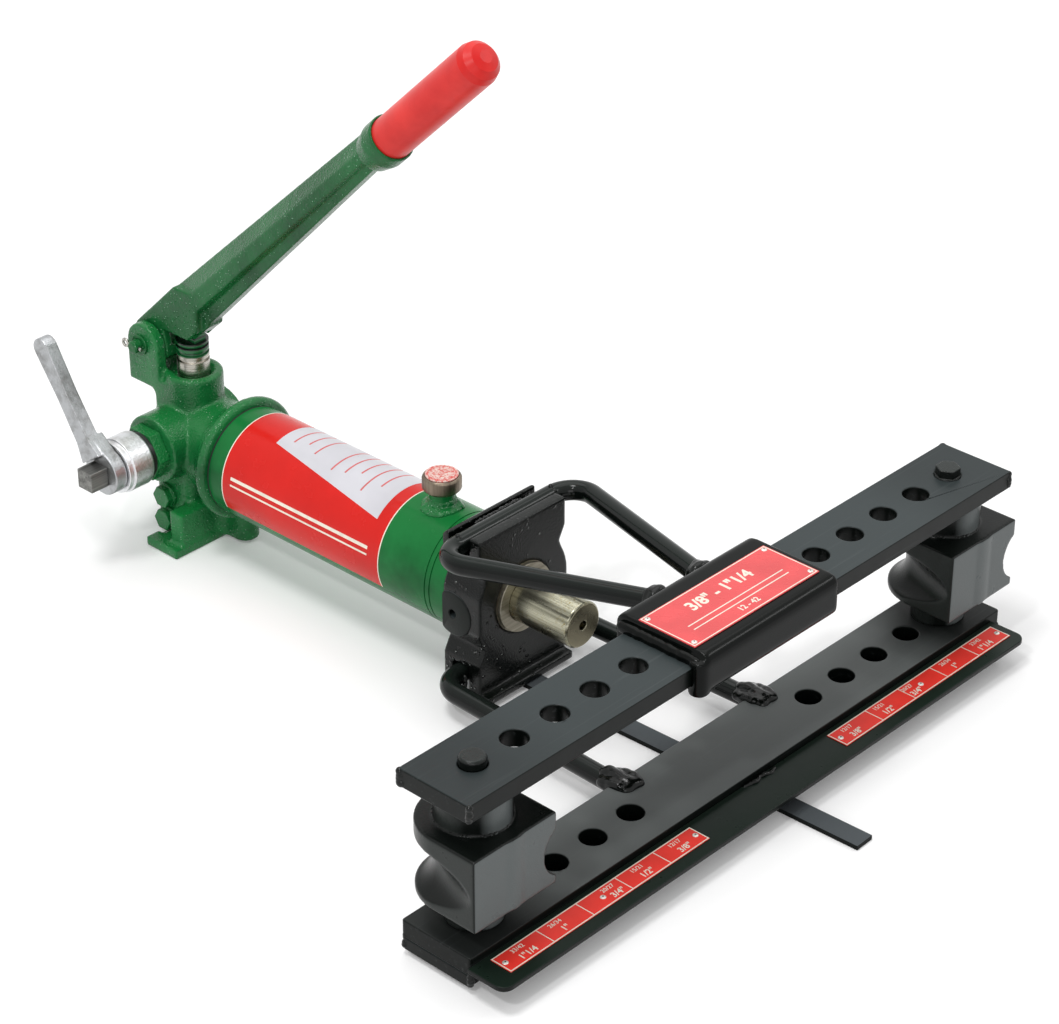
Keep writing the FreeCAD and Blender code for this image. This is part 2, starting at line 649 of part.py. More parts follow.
def tank():
    """The oil tank, its gaskets and its filler."""
    at = (0, 0, s.ram_level)
    outer = s.tank_outer / 2
    inner = outer - s.tank_wall
    front = s.head_back - s.gasket_thick
    back = s.flange_face + s.gasket_thick
    profile = [(back, inner), (front, inner), (front, outer)]
    for count in (0, 1):
        edge = front - s.groove_first - count * s.groove_step
        profile += [(edge, outer), (edge, outer - s.groove_depth),
                    (edge - s.groove_width, outer - s.groove_depth), (edge - s.groove_width, outer)]
    tube = turned(profile + [(back, outer)], at)
    pocket(tube, circle(new_sketch(tube, "XY_Plane"), s.neck_bore / 2, (s.filler_x, 0)), back=True)
    keep("reservoir_tube", tube)
    for name, low in (("reservoir_gasket_front", front), ("reservoir_gasket_rear", s.flange_face)):
        keep(name, turned([(low, inner), (low + s.gasket_thick, inner),
                           (low + s.gasket_thick, outer), (low, outer)], at))
    filler = (s.filler_x, 0, 0)
    neck_low = s.ram_level + inner
    neck = turned([(neck_low, s.neck_bore / 2), (s.neck_top, s.neck_bore / 2),
                   (s.neck_top, s.neck_outer / 2), (neck_low, s.neck_outer / 2)], filler, "Z")
    shell = rod((s.filler_x - s.neck_outer, 0, s.ram_level), outer, 2 * s.neck_outer, "X")
    keep("filler_neck", without(neck, shell))
    cap_low = s.neck_top + s.cap_gasket_thick
    cap_top = cap_low + s.cap_height
    spigot = s.neck_bore / 2 - s.running_gap
    cap_radius = s.cap_dia / 2
    keep("filler_cap", turned([(cap_low - s.cap_spigot, 0), (cap_low - s.cap_spigot, spigot),
                               (cap_low, spigot), (cap_low, cap_radius - 1.5),
                               (cap_low + 1.5, cap_radius), (cap_top - 1, cap_radius),
                               (cap_top, cap_radius - 1), (cap_top, 0)], filler, "Z"))
    keep("cap_gasket", turned([(s.neck_top, spigot + s.rod_seat), (cap_low, spigot + s.rod_seat),
                               (cap_low, s.neck_outer / 2), (s.neck_top, s.neck_outer / 2)],
                              filler, "Z"))
    keep("cap_disc", turned([(cap_top, 0), (cap_top + s.disc_thick, 0),
                             (cap_top + s.disc_thick, s.disc_dia / 2), (cap_top, s.disc_dia / 2)],
                            filler, "Z"))


def ear_block():
    """The block of the two ears, round at the top, with a level shelf under its back."""
    body = new_body((0, -s.ear_half, 0))
    middle = s.fulcrum_x + s.ear_shift
    back = middle - s.ear_radius
    front = middle + s.ear_radius
    outline = [(back, s.ear_low), (s.ear_corner, s.ear_low), (s.ear_corner + 3, s.ear_low - 4),
               (s.ear_corner + 3, s.ram_level), (s.plunger_x, s.ram_level),
               (s.plunger_x, s.slot_floor), (front, s.slot_floor), (front, s.fulcrum_z),
               (back, s.fulcrum_z)]
    pad(body, polygon(new_sketch(body, "XZ_Plane"), outline), 2 * s.ear_half, back=True)
    crown = circle(new_sketch(body, "XZ_Plane"), s.ear_radius, (middle, s.fulcrum_z))
    pad(body, crown, 2 * s.ear_half, back=True)
    return body


def barrel():
    """The round back of the pump, from the flange to the rear, with the spigot in the cylinder."""
    outer = s.flange_dia / 2
    back = s.flange_face - s.flange_thick
    radius = s.barrel_dia / 2
    return turned([(s.barrel_end, 0), (s.barrel_end, radius * 0.62), (s.barrel_end + 5, radius * 0.84),
                   (s.barrel_end + 16, radius), (back - 16, radius), (back - 5, radius + 4),
                   (back, outer - s.flange_rim), (back + 2, outer), (s.flange_face - 2.5, outer),
                   (s.flange_face, outer - s.flange_rim),
                   (s.flange_face, s.cylinder_bore / 2 - s.fit_gap),
                   (s.flange_face + s.spigot_length, s.cylinder_bore / 2 - s.fit_gap),
                   (s.flange_face + s.spigot_length, 0)], (0, 0, s.ram_level))


def column():
    """The upright block between the barrel and the foot, round at its corners."""
    body = new_body((0, 0, s.column_low))
    outline = [(s.column_back, -s.column_half), (s.column_front, -s.column_half),
               (s.column_front, s.column_half), (s.column_back, s.column_half)]
    pad(body, polygon(new_sketch(body, "XY_Plane"), outline), s.column_top - s.column_low)
    rounded(body, s.column_corner, lambda edge: along(edge, "z"))
    return body


def foot_web():
    """The web across the foot, with the rib that runs forward from it in two hollow curves."""
    body = new_body((0, 0, s.toe_low))
    outline = [(s.web_back, -s.web_half), (s.web_front, -s.web_half), (s.web_front, -s.toe_half),
               (s.toe_x, -s.toe_half), (s.toe_x, s.toe_half), (s.web_front, s.toe_half),
               (s.web_front, s.web_half), (s.web_back, s.web_half)]
    pad(body, polygon(new_sketch(body, "XY_Plane"), outline), s.web_top - s.toe_low)
    front = float(s.web_front)
    half = float(s.web_half)
    rounded(body, s.web_fillet, lambda edge: along(edge, "z") and abs(edge.CenterOfMass.x - front) < 0.1
            and abs(edge.CenterOfMass.y) < half - 1)
    return body


def pump_body():
    """The pump casting: flange, barrel, plunger boss, ears, valve boss, column, foot and ribs."""
    boss_low = s.ram_level
    boss = turned([(boss_low, 0), (s.boss_top, 0), (s.boss_top, s.boss_dia / 2 - s.boss_bevel),
                   (s.boss_top - s.boss_bevel, s.boss_dia / 2), (boss_low + 20, s.boss_dia / 2),
                   (boss_low, s.boss_dia / 2 + 6)], (s.plunger_x, 0, 0), "Z")
    valve = rod((s.plunger_x, -s.valve_face, s.valve_z), s.valve_boss_dia / 2,
                s.valve_face + s.valve_back, "Y")
    foot = box((s.foot_back, -s.foot_half, 0),
               (s.foot_front - s.foot_back, 2 * s.foot_half, s.foot_thick))
    rib = box((s.column_front - 1, -s.toe_half, s.toe_low),
              (s.toe_x - s.column_front + 1, 2 * s.toe_half, s.rib_top - s.toe_low))
    toe = rod((s.toe_x, 0, s.toe_low), s.toe_half, s.toe_top - s.toe_low)
    casting = fused(barrel(), boss, ear_block(), valve, column(), foot, foot_web(), rib, toe)
    slot_back = s.fulcrum_x - 2 * s.ear_radius
    gap = box((slot_back, -s.ear_gap, s.slot_floor),
              (s.slot_end - slot_back, 2 * s.ear_gap, s.wing_gap))
    recess = rod((s.plunger_x, 0, s.boss_top - s.recess_depth), s.recess_dia / 2, s.wing_gap)
    bore = rod((s.plunger_x, 0, s.plunger_bore_low), s.plunger_dia / 2 + s.running_gap, s.wing_gap)
    pivot = rod((s.fulcrum_x, -2 * s.ear_half, s.fulcrum_z), s.pivot_dia / 2, 4 * s.ear_half, "Y")
    valve_hole = rod((s.plunger_x, -s.valve_face - 1, s.valve_z), s.valve_bore / 2,
                     s.valve_bore_depth + 1, "Y")
    seat = rod((s.plunger_x, -s.valve_face, s.valve_z), s.seat_dia / 2,
               s.valve_face - s.seat_dia, "Y")
    plug_holes = [rod((s.plug_x, -s.column_half - 1, level), s.plug_thread / 2 + s.fit_gap,
                      s.plug_bore_depth + 1, "Y") for level in (s.plug_upper_z, s.plug_lower_z)]
    spot_depth = s.plug_head + 4
    spot_face = rod((s.plug_x, -s.column_half - spot_depth, s.plug_lower_z),
                    s.plug_collar_dia / 2 + s.rod_seat, spot_depth, "Y")
    boss_side = s.ear_gap + s.running_gap
    head_room = box((s.fulcrum_x, -boss_side, s.boss_top), (lever_arm * 2, 2 * boss_side, s.wing_gap))
    return keep("pump_body", without(casting, gap, head_room, recess, bore, pivot, valve_hole, seat,
                                     spot_face, *plug_holes))


def check_valves():
    """The two hex plugs low on the pump, each over a ball and its spring."""
    names = {"suction": s.plug_lower_z, "delivery": s.plug_upper_z}
    face = -s.column_half
    for name, level in names.items():
        at = (s.plug_x, face, level)
        body = new_body(at)
        pad(body, polygon(new_sketch(body, "XZ_Plane"), hex_corners(s.plug_hex)), s.plug_head)
        pad(body, circle(new_sketch(body, "XZ_Plane"), s.plug_collar_dia / 2), s.plug_collar)
        pad(body, circle(new_sketch(body, "XZ_Plane"), s.plug_thread / 2), s.plug_depth, back=True)
        keep(f"{name}_plug", body)
        deep = face + s.plug_bore_depth
        ball = doc.addObject("Part::Sphere", "Ball")
        ball.Radius = float(s.ball_dia) / 2
        tie(ball, "Radius", s.ball_dia / 2)
        put(ball, (s.plug_x, deep - s.ball_dia / 2, level))
        keep(f"{name}_ball", ball)
        low = face + s.plug_depth
        length = s.plug_bore_depth - s.plug_depth - s.ball_dia
        outer = s.ball_spring_dia / 2
        keep(f"{name}_spring", turned([(low, outer - 1), (low + length, outer - 1),
                                       (low + length, outer), (low, outer)],
                                      (s.plug_x, 0, level), "Y"))


def plunger():
    """The pump plunger, with its oil grooves, and the tongue that the lever drives."""
    radius = s.plunger_dia / 2
    low_groove = radius - s.seal_depth
    profile = [(s.plunger_low, 0), (s.plunger_low, radius - 1), (s.plunger_low + 1, radius),
               (s.seal_low, radius), (s.seal_low, low_groove), (s.seal_low + s.seal_height, low_groove),
               (s.seal_low + s.seal_height, radius)]
    for count in (2, 1, 0):
        top = s.plunger_shoulder - 2 - count * s.groove_pitch
        profile += [(top - s.groove_height, radius), (top - s.groove_height, radius - s.plunger_groove),
                    (top, radius - s.plunger_groove), (top, radius)]
    profile += [(s.plunger_shoulder, radius), (s.plunger_shoulder, 0)]
    body = turned(profile, (s.plunger_x, 0, 0), "Z")
    half = s.tongue_width / 2
    thick = s.tongue_thick / 2
    tongue = box((s.plunger_x - half, -thick, s.plunger_shoulder - 1),
                 (s.tongue_width, s.tongue_thick, s.tongue_height + 1))
    hole = rod((s.plunger_x, -s.tongue_thick, link_level), s.link_dia / 2, 2 * s.tongue_thick, "Y")
    keep("plunger", without(fused(body, tongue), hole))
    keep("plunger_link_pin", rod((s.plunger_x, -s.link_length / 2, link_level), s.link_dia / 2,
                                 s.link_length, "Y"))
    ring = [(s.seal_low + s.fit_gap, low_groove + s.fit_gap),
            (s.seal_low + s.seal_height - s.fit_gap, low_groove + s.fit_gap),
            (s.seal_low + s.seal_height - s.fit_gap, radius), (s.seal_low + s.fit_gap, radius)]
    keep("plunger_seal", turned(ring, (s.plunger_x, 0, 0), "Z"))


def beam_section(body, lift, half, high, brow, flange, low):
    """One cross-section of the lever: a roof-shaped flange over a thinner web."""
    side = [(s.beam_web, -low), (s.beam_web, -flange - s.beam_slope), (half, -flange), (half, brow),
            (s.beam_ridge, high)]
    outline = side + [(-across, up) for across, up in reversed(side)]
    return polygon(new_sketch(body, "YZ_Plane", lift), outline)


def lever_beam():
    """The tapering beam of the lever, from the root to the grip ring."""
    body = new_body((s.fulcrum_x, 0, s.fulcrum_z), lever_turn)
    root = beam_section(body, s.beam_start, s.lever_half, s.beam_high, s.beam_brow, s.beam_flange,
                        s.beam_low)
    tip = beam_section(body, s.ring_start + 1, s.tip_half, s.tip_high, s.tip_brow, s.tip_flange,
                       s.tip_low)
    doc.recompute()
    made = body.newObject("PartDesign::AdditiveLoft", "Loft")
    made.Profile = root
    made.Sections = [tip]
    made.Ruled = True
    return body


def lever_plate(points, half):
    """A straight-sided piece of the lever, drawn along the lever from the fulcrum."""
    body = new_body((s.fulcrum_x, -half, s.fulcrum_z), lever_turn)
    pad(body, polygon(new_sketch(body, "XZ_Plane"), points), 2 * half, back=True)
    return body


def lever_root():
    """The solid root of the lever, round the eye and over the plunger, and the heel under it."""
    reach = s.root_reach
    body = lever_plate([(0, s.eye_radius), (reach - 16, s.root_high), (reach, s.root_high / 3),
                        (reach - 4, -s.root_low / 3), (reach - 14, -s.root_low * 0.78),
                        (reach - 20, -s.root_low), (reach - 30, -s.root_low), (0, -s.eye_radius)],
                       s.lever_half)
    pad(body, circle(new_sketch(body, "XZ_Plane"), s.eye_radius), 2 * s.lever_half, back=True)
    heel = lever_plate([(s.heel_reach / 2, 0), (s.heel_reach - 1, 0),
                        (s.heel_reach, -s.heel_low * 0.84), (s.heel_reach - 5, -s.heel_low),
                        (s.heel_reach / 2, -s.heel_low)], s.heel_half)
    return body, heel


def side_cut(points, half):
    """A straight-sided cutter through the lever, drawn from the fulcrum."""
    body = new_body((s.fulcrum_x, -half, s.fulcrum_z))
    pad(body, polygon(new_sketch(body, "XZ_Plane"), points), 2 * half, back=True)
    return body


def pump_lever():
    """The cast lever: eye, root with its room for the plunger, beam, and ring for the grip."""
    ring = turned([(s.ring_start, 0), (s.ring_start + s.ring_length, 0),
                   (s.ring_start + s.ring_length, s.ring_dia / 2),
                   (s.ring_start + s.ring_length / 2, s.ring_dia / 2),
                   (s.ring_start, s.ring_dia / 2 - 3.5)], (s.fulcrum_x, 0, s.fulcrum_z))
    ring.Placement = Placement(ring.Placement.Base, lever_turn)
    lever = fused(lever_beam(), *lever_root(), ring)
    plunger_side = lever_arm - s.plunger_dia / 2
    link = link_level - s.fulcrum_z
    under = -s.lever_length / 8
    window = [(plunger_side - 3.2, under), (plunger_side - 3.2, 0),
              (plunger_side - 6.5, link - 16.5), (lever_arm + 15, link - 16.5),
              (lever_arm + 21, link - 9), (lever_arm + 45, under)]
    room = [(lever_arm - 24, 0), (lever_arm - 24, link + 2), (lever_arm - 18, link + 8),
            (lever_arm - 10, link + 12), (lever_arm + 19, link + 12), (lever_arm + 19, 0)]
    pivot = rod((s.fulcrum_x, -2 * s.lever_half, s.fulcrum_z), s.pivot_dia / 2 + s.running_gap,
                4 * s.lever_half, "Y")
    slot = [(lever_arm - 13, link - 11), (lever_arm + 8, link - 6), (lever_arm + 15, link),
            (lever_arm + 8, link + 8), (lever_arm - 9, link + 4.5), (lever_arm - 18, link - 3)]
    direction = (cosine(s.lever_angle), sine(s.lever_angle))
    mouth = s.ring_start + s.ring_length - s.grip_sunk
    socket = rod((s.fulcrum_x + mouth * direction[0], 0, s.fulcrum_z + mouth * direction[1]),
                 s.grip_dia / 2 + s.fit_gap, s.grip_sunk * 2,
                 turn=lever_turn * Rotation(Vector(0, 1, 0), 90))
    return keep("pump_lever", without(lever, side_cut(window, s.lever_half * 2),
                                      side_cut(room, s.tongue_thick / 2 + 0.25), pivot,
                                      side_cut(slot, s.link_length / 2 + 0.25), socket))


def lever_grip():
    """The soft grip, a cylinder with a rounded end, pushed into the lever's ring."""
    start = s.ring_start + s.ring_length - s.grip_sunk
    radius = s.grip_dia / 2
    nose = s.lever_length
    profile = [(start, 0), (start, radius), (nose - s.grip_nose, radius)]
    for angle in (30, 60):
        profile.append((nose - s.grip_nose * (1 - sine(angle)), radius - s.grip_nose * (1 - cosine(angle))))
    grip = turned(profile + [(nose, radius - s.grip_nose), (nose, 0)], (s.fulcrum_x, 0, s.fulcrum_z))
    grip.Placement = Placement(grip.Placement.Base, lever_turn)
    keep("lever_grip", grip)


def fulcrum_pin():
    """The headed pin of the lever, its washer, and the split pin through its end."""
    at = (s.fulcrum_x, 0, s.fulcrum_z)
    radius = s.pivot_dia / 2
    end = -s.pin_reach
    head = s.pin_head_dia / 2
    head_end = s.ear_half + s.pin_head_thick
    pin = turned([(end, 0), (end, radius - 1), (end + 1, radius), (s.ear_half, radius),
                  (s.ear_half, head), (head_end - 1, head), (head_end, head - 1), (head_end, 0)],
                 at, "Y")
    middle = (s.fulcrum_x - s.split_length / 2, -s.split_place, s.fulcrum_z)
    hole = rod(middle, s.split_dia / 2 + s.fit_gap, s.split_length, "X")
    keep("lever_pin", without(pin, hole))
    inner = radius + s.fit_gap
    keep("lever_pin_washer", turned([(-s.ear_half - s.washer_thick, inner), (-s.ear_half, inner),
                                     (-s.ear_half, s.washer_dia / 2),
                                     (-s.ear_half - s.washer_thick, s.washer_dia / 2)], at, "Y"))
    eye = doc.addObject("Part::Torus", "Eye")
    for slot, value in (("Radius1", s.split_eye), ("Radius2", s.split_wire)):
        setattr(eye, slot, float(value))
        tie(eye, slot, value)
    put(eye, (middle[0] - s.split_eye, middle[1], middle[2]), Rotation(Vector(1, 0, 0), 90))
    keep("split_pin", fused(rod(middle, s.split_dia / 2, s.split_length, "X"), eye))


def hex_corners(across, first=0):
    """The six corners of a hexagon from its width across flats and the angle of its first corner."""
    corner = across / 2 / math.cos(math.radians(30))
    angles = [first + 60 * step for step in range(6)]
    return [(corner * cosine(angle), corner * sine(angle)) for angle in angles]


def release_valve():
    """The release valve on the pump's side: nut, ring, collar, spindle, and the arm that turns it."""
    at = (s.plunger_x, 0, s.valve_z)
    bore = s.spindle_dia / 2 + s.running_gap
    nut_face = -s.valve_face - s.nut_height
    ring_face = nut_face - s.ring_height
    collar_face = ring_face - s.collar_length
    hub_back = collar_face - s.hub_gap
    hub_face = hub_back - s.arm_thick
    nut = new_body((s.plunger_x, -s.valve_face, s.valve_z))
    pad(nut, polygon(new_sketch(nut, "XZ_Plane"), hex_corners(s.nut_hex)), s.nut_height)
    pad(nut, circle(new_sketch(nut, "XZ_Plane"), s.valve_bore / 2 - s.fit_gap), s.nut_spigot, back=True)
    both_ways_round(nut, bore)
    keep("valve_nut", nut)
    keep("valve_ring", turned([(ring_face, bore), (nut_face, bore), (nut_face, s.valve_ring_dia / 2),
                               (ring_face, s.valve_ring_dia / 2)], at, "Y"))
    outer = s.collar_dia / 2
    keep("valve_collar", turned([(collar_face, bore), (ring_face, bore), (ring_face, outer - 2),
                                 (ring_face - 2, outer), (collar_face + s.collar_step, outer),
                                 (collar_face + s.collar_step, outer - 1.5),
                                 (collar_face, outer - 1.5)], at, "Y"))
    tip = -s.valve_face + s.valve_bore_depth
    stem = s.spindle_dia / 2
    spindle = turned([(hub_face, 0), (hub_face, stem), (tip - s.needle_length, stem),
                      (tip, s.needle_tip), (tip, 0)], at, "Y")
    half = s.square_side / 2
    square = box((s.plunger_x - half, hub_face - s.square_length, s.valve_z - half),
                 (s.square_side, s.square_length, s.square_side))
    keep("valve_spindle", fused(spindle, square))
    seal_low = -s.valve_face + s.nut_spigot
    keep("valve_seal", turned([(seal_low, stem + s.running_gap),
                               (seal_low + s.valve_seal_thick, stem + s.running_gap),
                               (seal_low + s.valve_seal_thick, s.valve_bore / 2 - s.fit_gap),
                               (seal_low, s.valve_bore / 2 - s.fit_gap)], at, "Y"))
    release_arm(at, hub_face, hub_back)


def release_arm(at, face, back):
    """The release arm: a hub on the spindle and an arm set forward, hollowed inside its rims."""
    body = new_body((at[0], back, at[2]), Rotation(Vector(0, 1, 0), -float(s.arm_angle)))
    depth = back - face
    pad(body, circle(new_sketch(body, "XZ_Plane"), s.hub_dia / 2), depth)
    root = s.hub_dia * 0.8
    waist = s.arm_reach * 0.62
    flare = [(0, s.hub_dia / 2), (root, s.arm_waist + 1)]
    pad(body, polygon(new_sketch(body, "XZ_Plane"), both_sides(flare)), depth)
    start = s.hub_dia * 0.34
    side = [(start, start), (root, s.arm_waist + 1), (waist, s.arm_waist), (s.arm_reach, s.arm_tip)]
    pad(body, polygon(new_sketch(body, "XZ_Plane", s.arm_step), both_sides(side)), depth)
    tip = circle(new_sketch(body, "XZ_Plane", s.arm_step), s.arm_tip, (s.arm_reach, 0))
    pad(body, tip, depth)
    side = [(root - s.arm_rim, s.arm_waist + 1 - s.arm_rim), (waist, s.arm_waist - s.arm_rim),
            (s.arm_reach, s.arm_tip - s.arm_rim)]
    hollow = new_sketch(body, "XZ_Plane", depth + s.arm_step)
    pocket(body, polygon(hollow, both_sides(side)), s.arm_recess)
    pocket(body, circle(new_sketch(body, "XZ_Plane", depth), s.spindle_dia / 2 + s.fit_gap))
    return keep("release_arm", body)


def both_sides(half):
    """A closed outline from one half of it, mirrored about the first axis."""
    return half + [(run, -across) for run, across in reversed(half)]


def both_ways_round(body, radius):
    """Bore a body on the XZ plane through to both sides."""
    made = pocket(body, circle(new_sketch(body, "XZ_Plane"), radius))
    made.SideType = "Symmetric"
    doc.recompute()
    return made


def support_block(name, side):
    """A swivelling support block: two hubs, a D-shaped body and a groove for the pipe."""
    centre = side * pin_place
    body = new_body((0, centre, 0))
    radius = s.block_radius
    front = [(0, -radius), (s.block_front, -radius), (s.block_front, radius), (0, radius)]
    height = s.block_high - s.block_low
    pad(body, polygon(new_sketch(body, "XY_Plane", s.block_low), front), height)
    pad(body, circle(new_sketch(body, "XY_Plane", s.block_low), radius), height)
    hub_low = level_gap + s.block_play
    hub_high = level_upper - s.block_play
    pad(body, circle(new_sketch(body, "XY_Plane", hub_low), s.hub_low_radius),
        s.block_low - hub_low + 1)
    pad(body, circle(new_sketch(body, "XY_Plane", s.block_high - 1), s.hub_radius),
        hub_high - s.block_high + 1)
    pocket(body, circle(new_sketch(body, "XY_Plane", hub_low), s.hole_dia / 2), back=True)
    return keep(name, without(body, *pipe_groove(centre)))


def pipe_groove(centre):
    """The pipe as it lies round a support block: a bend about the pin and two straight ends."""
    bend = s.hub_radius + s.pipe_radius
    arc = doc.addObject("Part::Torus", "Bend")
    arc.Radius1 = float(bend)
    arc.Radius2 = float(s.pipe_radius)
    tie(arc, "Radius1", bend)
    tie(arc, "Radius2", s.pipe_radius)
    sweep = 180 - s.flare_right - s.flare_left
    arc.Angle3 = float(sweep)
    tie(arc, "Angle3", sweep)
    put(arc, (0, centre, s.groove_level), Rotation(Vector(0, 0, 1), 90 + float(s.flare_right)))
    ends = []
    for hand, flare in ((1, s.flare_right), (-1, s.flare_left)):
        start = (-bend * sine(flare), centre + hand * bend * cosine(flare), s.groove_level)
        turn = Rotation(Vector(0, 0, 1), hand * float(flare)) * Rotation(Vector(0, 1, 0), 90)
        ends.append(rod(start, s.pipe_radius, 3 * s.block_radius, turn=turn))
    return [arc] + ends


def support_pins():
    """The two pins: a plain one with a rounded top, and one with a hexagon on top."""
    radius = s.pin_dia / 2
    top = level_top + s.pin_above
    profile = [(level_lower, 0), (level_lower, radius), (top - s.pin_crown, radius),
               (top - s.pin_crown / 4, radius - s.pin_crown / 2), (top, radius - s.pin_crown), (top, 0)]
    keep("support_pin_left", turned(profile, (0, -pin_place, 0), "Z"))
    body = new_body((0, pin_place, 0))
    pad(body, circle(new_sketch(body, "XY_Plane", level_lower), radius), level_top - level_lower)
    corners = hex_corners(s.pin_hex - 1, 30)
    pad(body, polygon(new_sketch(body, "XY_Plane", level_top), corners), s.pin_above)
    keep("support_pin_right", body)


def build():
    """Make every piece."""
    wing_bar("upper_wing", level_upper)
    wing_bar("lower_wing", level_lower)
    underplate()
    scale_ledge()
    scale_plates()
    front_leg()
    wing_sleeve()
    badge()
    upper_corner = (s.upper_rod_x, 0, s.upper_rod_z)
    bent_rod("upper_tie_rod", upper_corner, s.upper_rod_half, s.upper_rod_end, -s.sleeve_back,
             s.upper_rod_rise)
    lower_corner = (s.lower_rod_x, 0, s.lower_rod_z)
    bent_rod("lower_tie_rod", lower_corner, s.lower_rod_half, s.lower_rod_end, -s.wing_width / 2)
    ram_head()
    grub_screw()
    ram_parts()
    return_spring()
    tank()
    pump_body()
    check_valves()
    plunger()
    pump_lever()
    lever_grip()
    fulcrum_pin()
    release_valve()
    for side, name in ((-1, "support_block_left"), (1, "support_block_right")):
        support_block(name, side)
    support_pins()


def check():
    """Stop if any object failed to build."""
    doc.recompute()
    for thing in doc.Objects:
        if {"Invalid", "Error"} & set(thing.State):
            raise RuntimeError(f"{thing.Name} did not build: {thing.State}")
    for name, thing in nodes.items():
        if thing.Shape.isNull() or not thing.Shape.isValid():
            raise RuntimeError(f"{name} is not a valid solid")


def write():
    """Move the origin under the middle of the whole bender and write each piece."""
    os.makedirs("parts", exist_ok=True)
    whole = Part.makeCompound([thing.Shape for thing in nodes.values()]).optimalBoundingBox()
    middle = Vector(-whole.Center.x, -whole.Center.y, 0)
    for name, thing in nodes.items():
        shape = thing.Shape.copy()
        shape.translate(middle)
        shape.exportStep(f"parts/{name}.step")
    print(f"origin moved by {middle.x:.3f}, {middle.y:.3f}; {len(nodes)} pieces")


build()
check()
write()
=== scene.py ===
# %% [markdown]
# # A hydraulic pipe bender, dressed piece by piece
# The bender is a workshop tool. A hand pump pushes oil behind a ram, and the ram presses a former
# against a pipe that lies between two flat wings. The rigid pieces come from the drawing, in metres,
# so this lesson is about what makes them look real: rounded edges, cast and painted surfaces, welds,
# printed plates and light. We start by loading them and by keeping the size of the whole.

# %% Load the rigid pieces
import json
import math

import bmesh
import bpy
from mathutils import Matrix, Vector


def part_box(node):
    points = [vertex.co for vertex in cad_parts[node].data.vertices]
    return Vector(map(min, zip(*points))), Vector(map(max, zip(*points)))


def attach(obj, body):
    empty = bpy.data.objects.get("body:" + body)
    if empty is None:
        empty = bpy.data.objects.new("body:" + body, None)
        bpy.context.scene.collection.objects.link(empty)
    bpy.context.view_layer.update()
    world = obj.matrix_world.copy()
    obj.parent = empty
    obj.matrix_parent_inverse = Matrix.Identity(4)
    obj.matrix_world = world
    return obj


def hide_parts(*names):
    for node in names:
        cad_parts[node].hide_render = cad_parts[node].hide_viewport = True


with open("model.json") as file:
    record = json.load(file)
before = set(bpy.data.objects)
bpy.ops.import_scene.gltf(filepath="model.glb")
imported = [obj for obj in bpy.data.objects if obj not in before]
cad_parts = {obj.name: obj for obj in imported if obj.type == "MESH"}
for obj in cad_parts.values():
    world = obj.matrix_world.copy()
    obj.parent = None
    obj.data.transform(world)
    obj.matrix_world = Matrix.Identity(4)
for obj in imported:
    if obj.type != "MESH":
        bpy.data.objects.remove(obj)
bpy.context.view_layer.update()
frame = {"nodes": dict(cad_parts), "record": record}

nodes = frame["nodes"]
bodies = frame["record"]["behaviour"]["bodies"]
body_of = {node: body for body, members in bodies.items() for node in members}

# %% [markdown]
# Every place on the bender is easiest to say from the line of the holes in the wings, in millimetres:
# +X the way the ram travels, +Y along the wings, +Z up from the bench. The upper wing tells us where
# that line and the middle of the wing are, so nothing here changes when the drawing's origin moves.
# A second helper puts a new object into the scene, and both are used all the way down.

# %% Ways to say where things are and to add them
wing_low, wing_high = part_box("upper_wing")
hole_line, wing_middle = (wing_low.x + wing_high.x) / 2, (wing_low.y + wing_high.y) / 2


def at(x, y, z):
    """A place in millimetres from the line of holes, as metres in the scene."""
    return Vector((hole_line + x / 1000, wing_middle + y / 1000, z / 1000))


def linked(name, data):
    """A new object for a mesh, a lamp or a camera, in the scene."""
    made = bpy.data.objects.new(name, data)
    bpy.context.scene.collection.objects.link(made)
    return made


print("hole line at", round(hole_line, 4), "middle of the wings at", round(wing_middle, 5))

# %% [markdown]
# The camera stands where the photographer stood: to the right of the wings' left end, looking down
# at about thirty degrees with a long lens, so the lines of the bender hardly converge.

# %% Camera
view_turn, view_height = math.radians(43.088), math.radians(30.655)
camera_data = bpy.data.cameras.new("camera")
camera_data.lens = 108.2
camera_data.sensor_width = 36
camera_data.clip_start, camera_data.clip_end = 0.05, 60
camera = linked("camera", camera_data)
camera.location = at(1202.1, -1490.8, 1365.4)
camera.rotation_euler = (math.pi / 2 - view_height, 0, view_turn)
bpy.context.scene.camera = camera
print("camera at", [round(value, 3) for value in camera.location])

# %% [markdown]
# Node trees are easier to read when each step is one short call. This small class adds such steps to
# any tree, and returns the socket that matters. Finishes, the world, welds and rivets all use it.

# %% Steps in a node tree


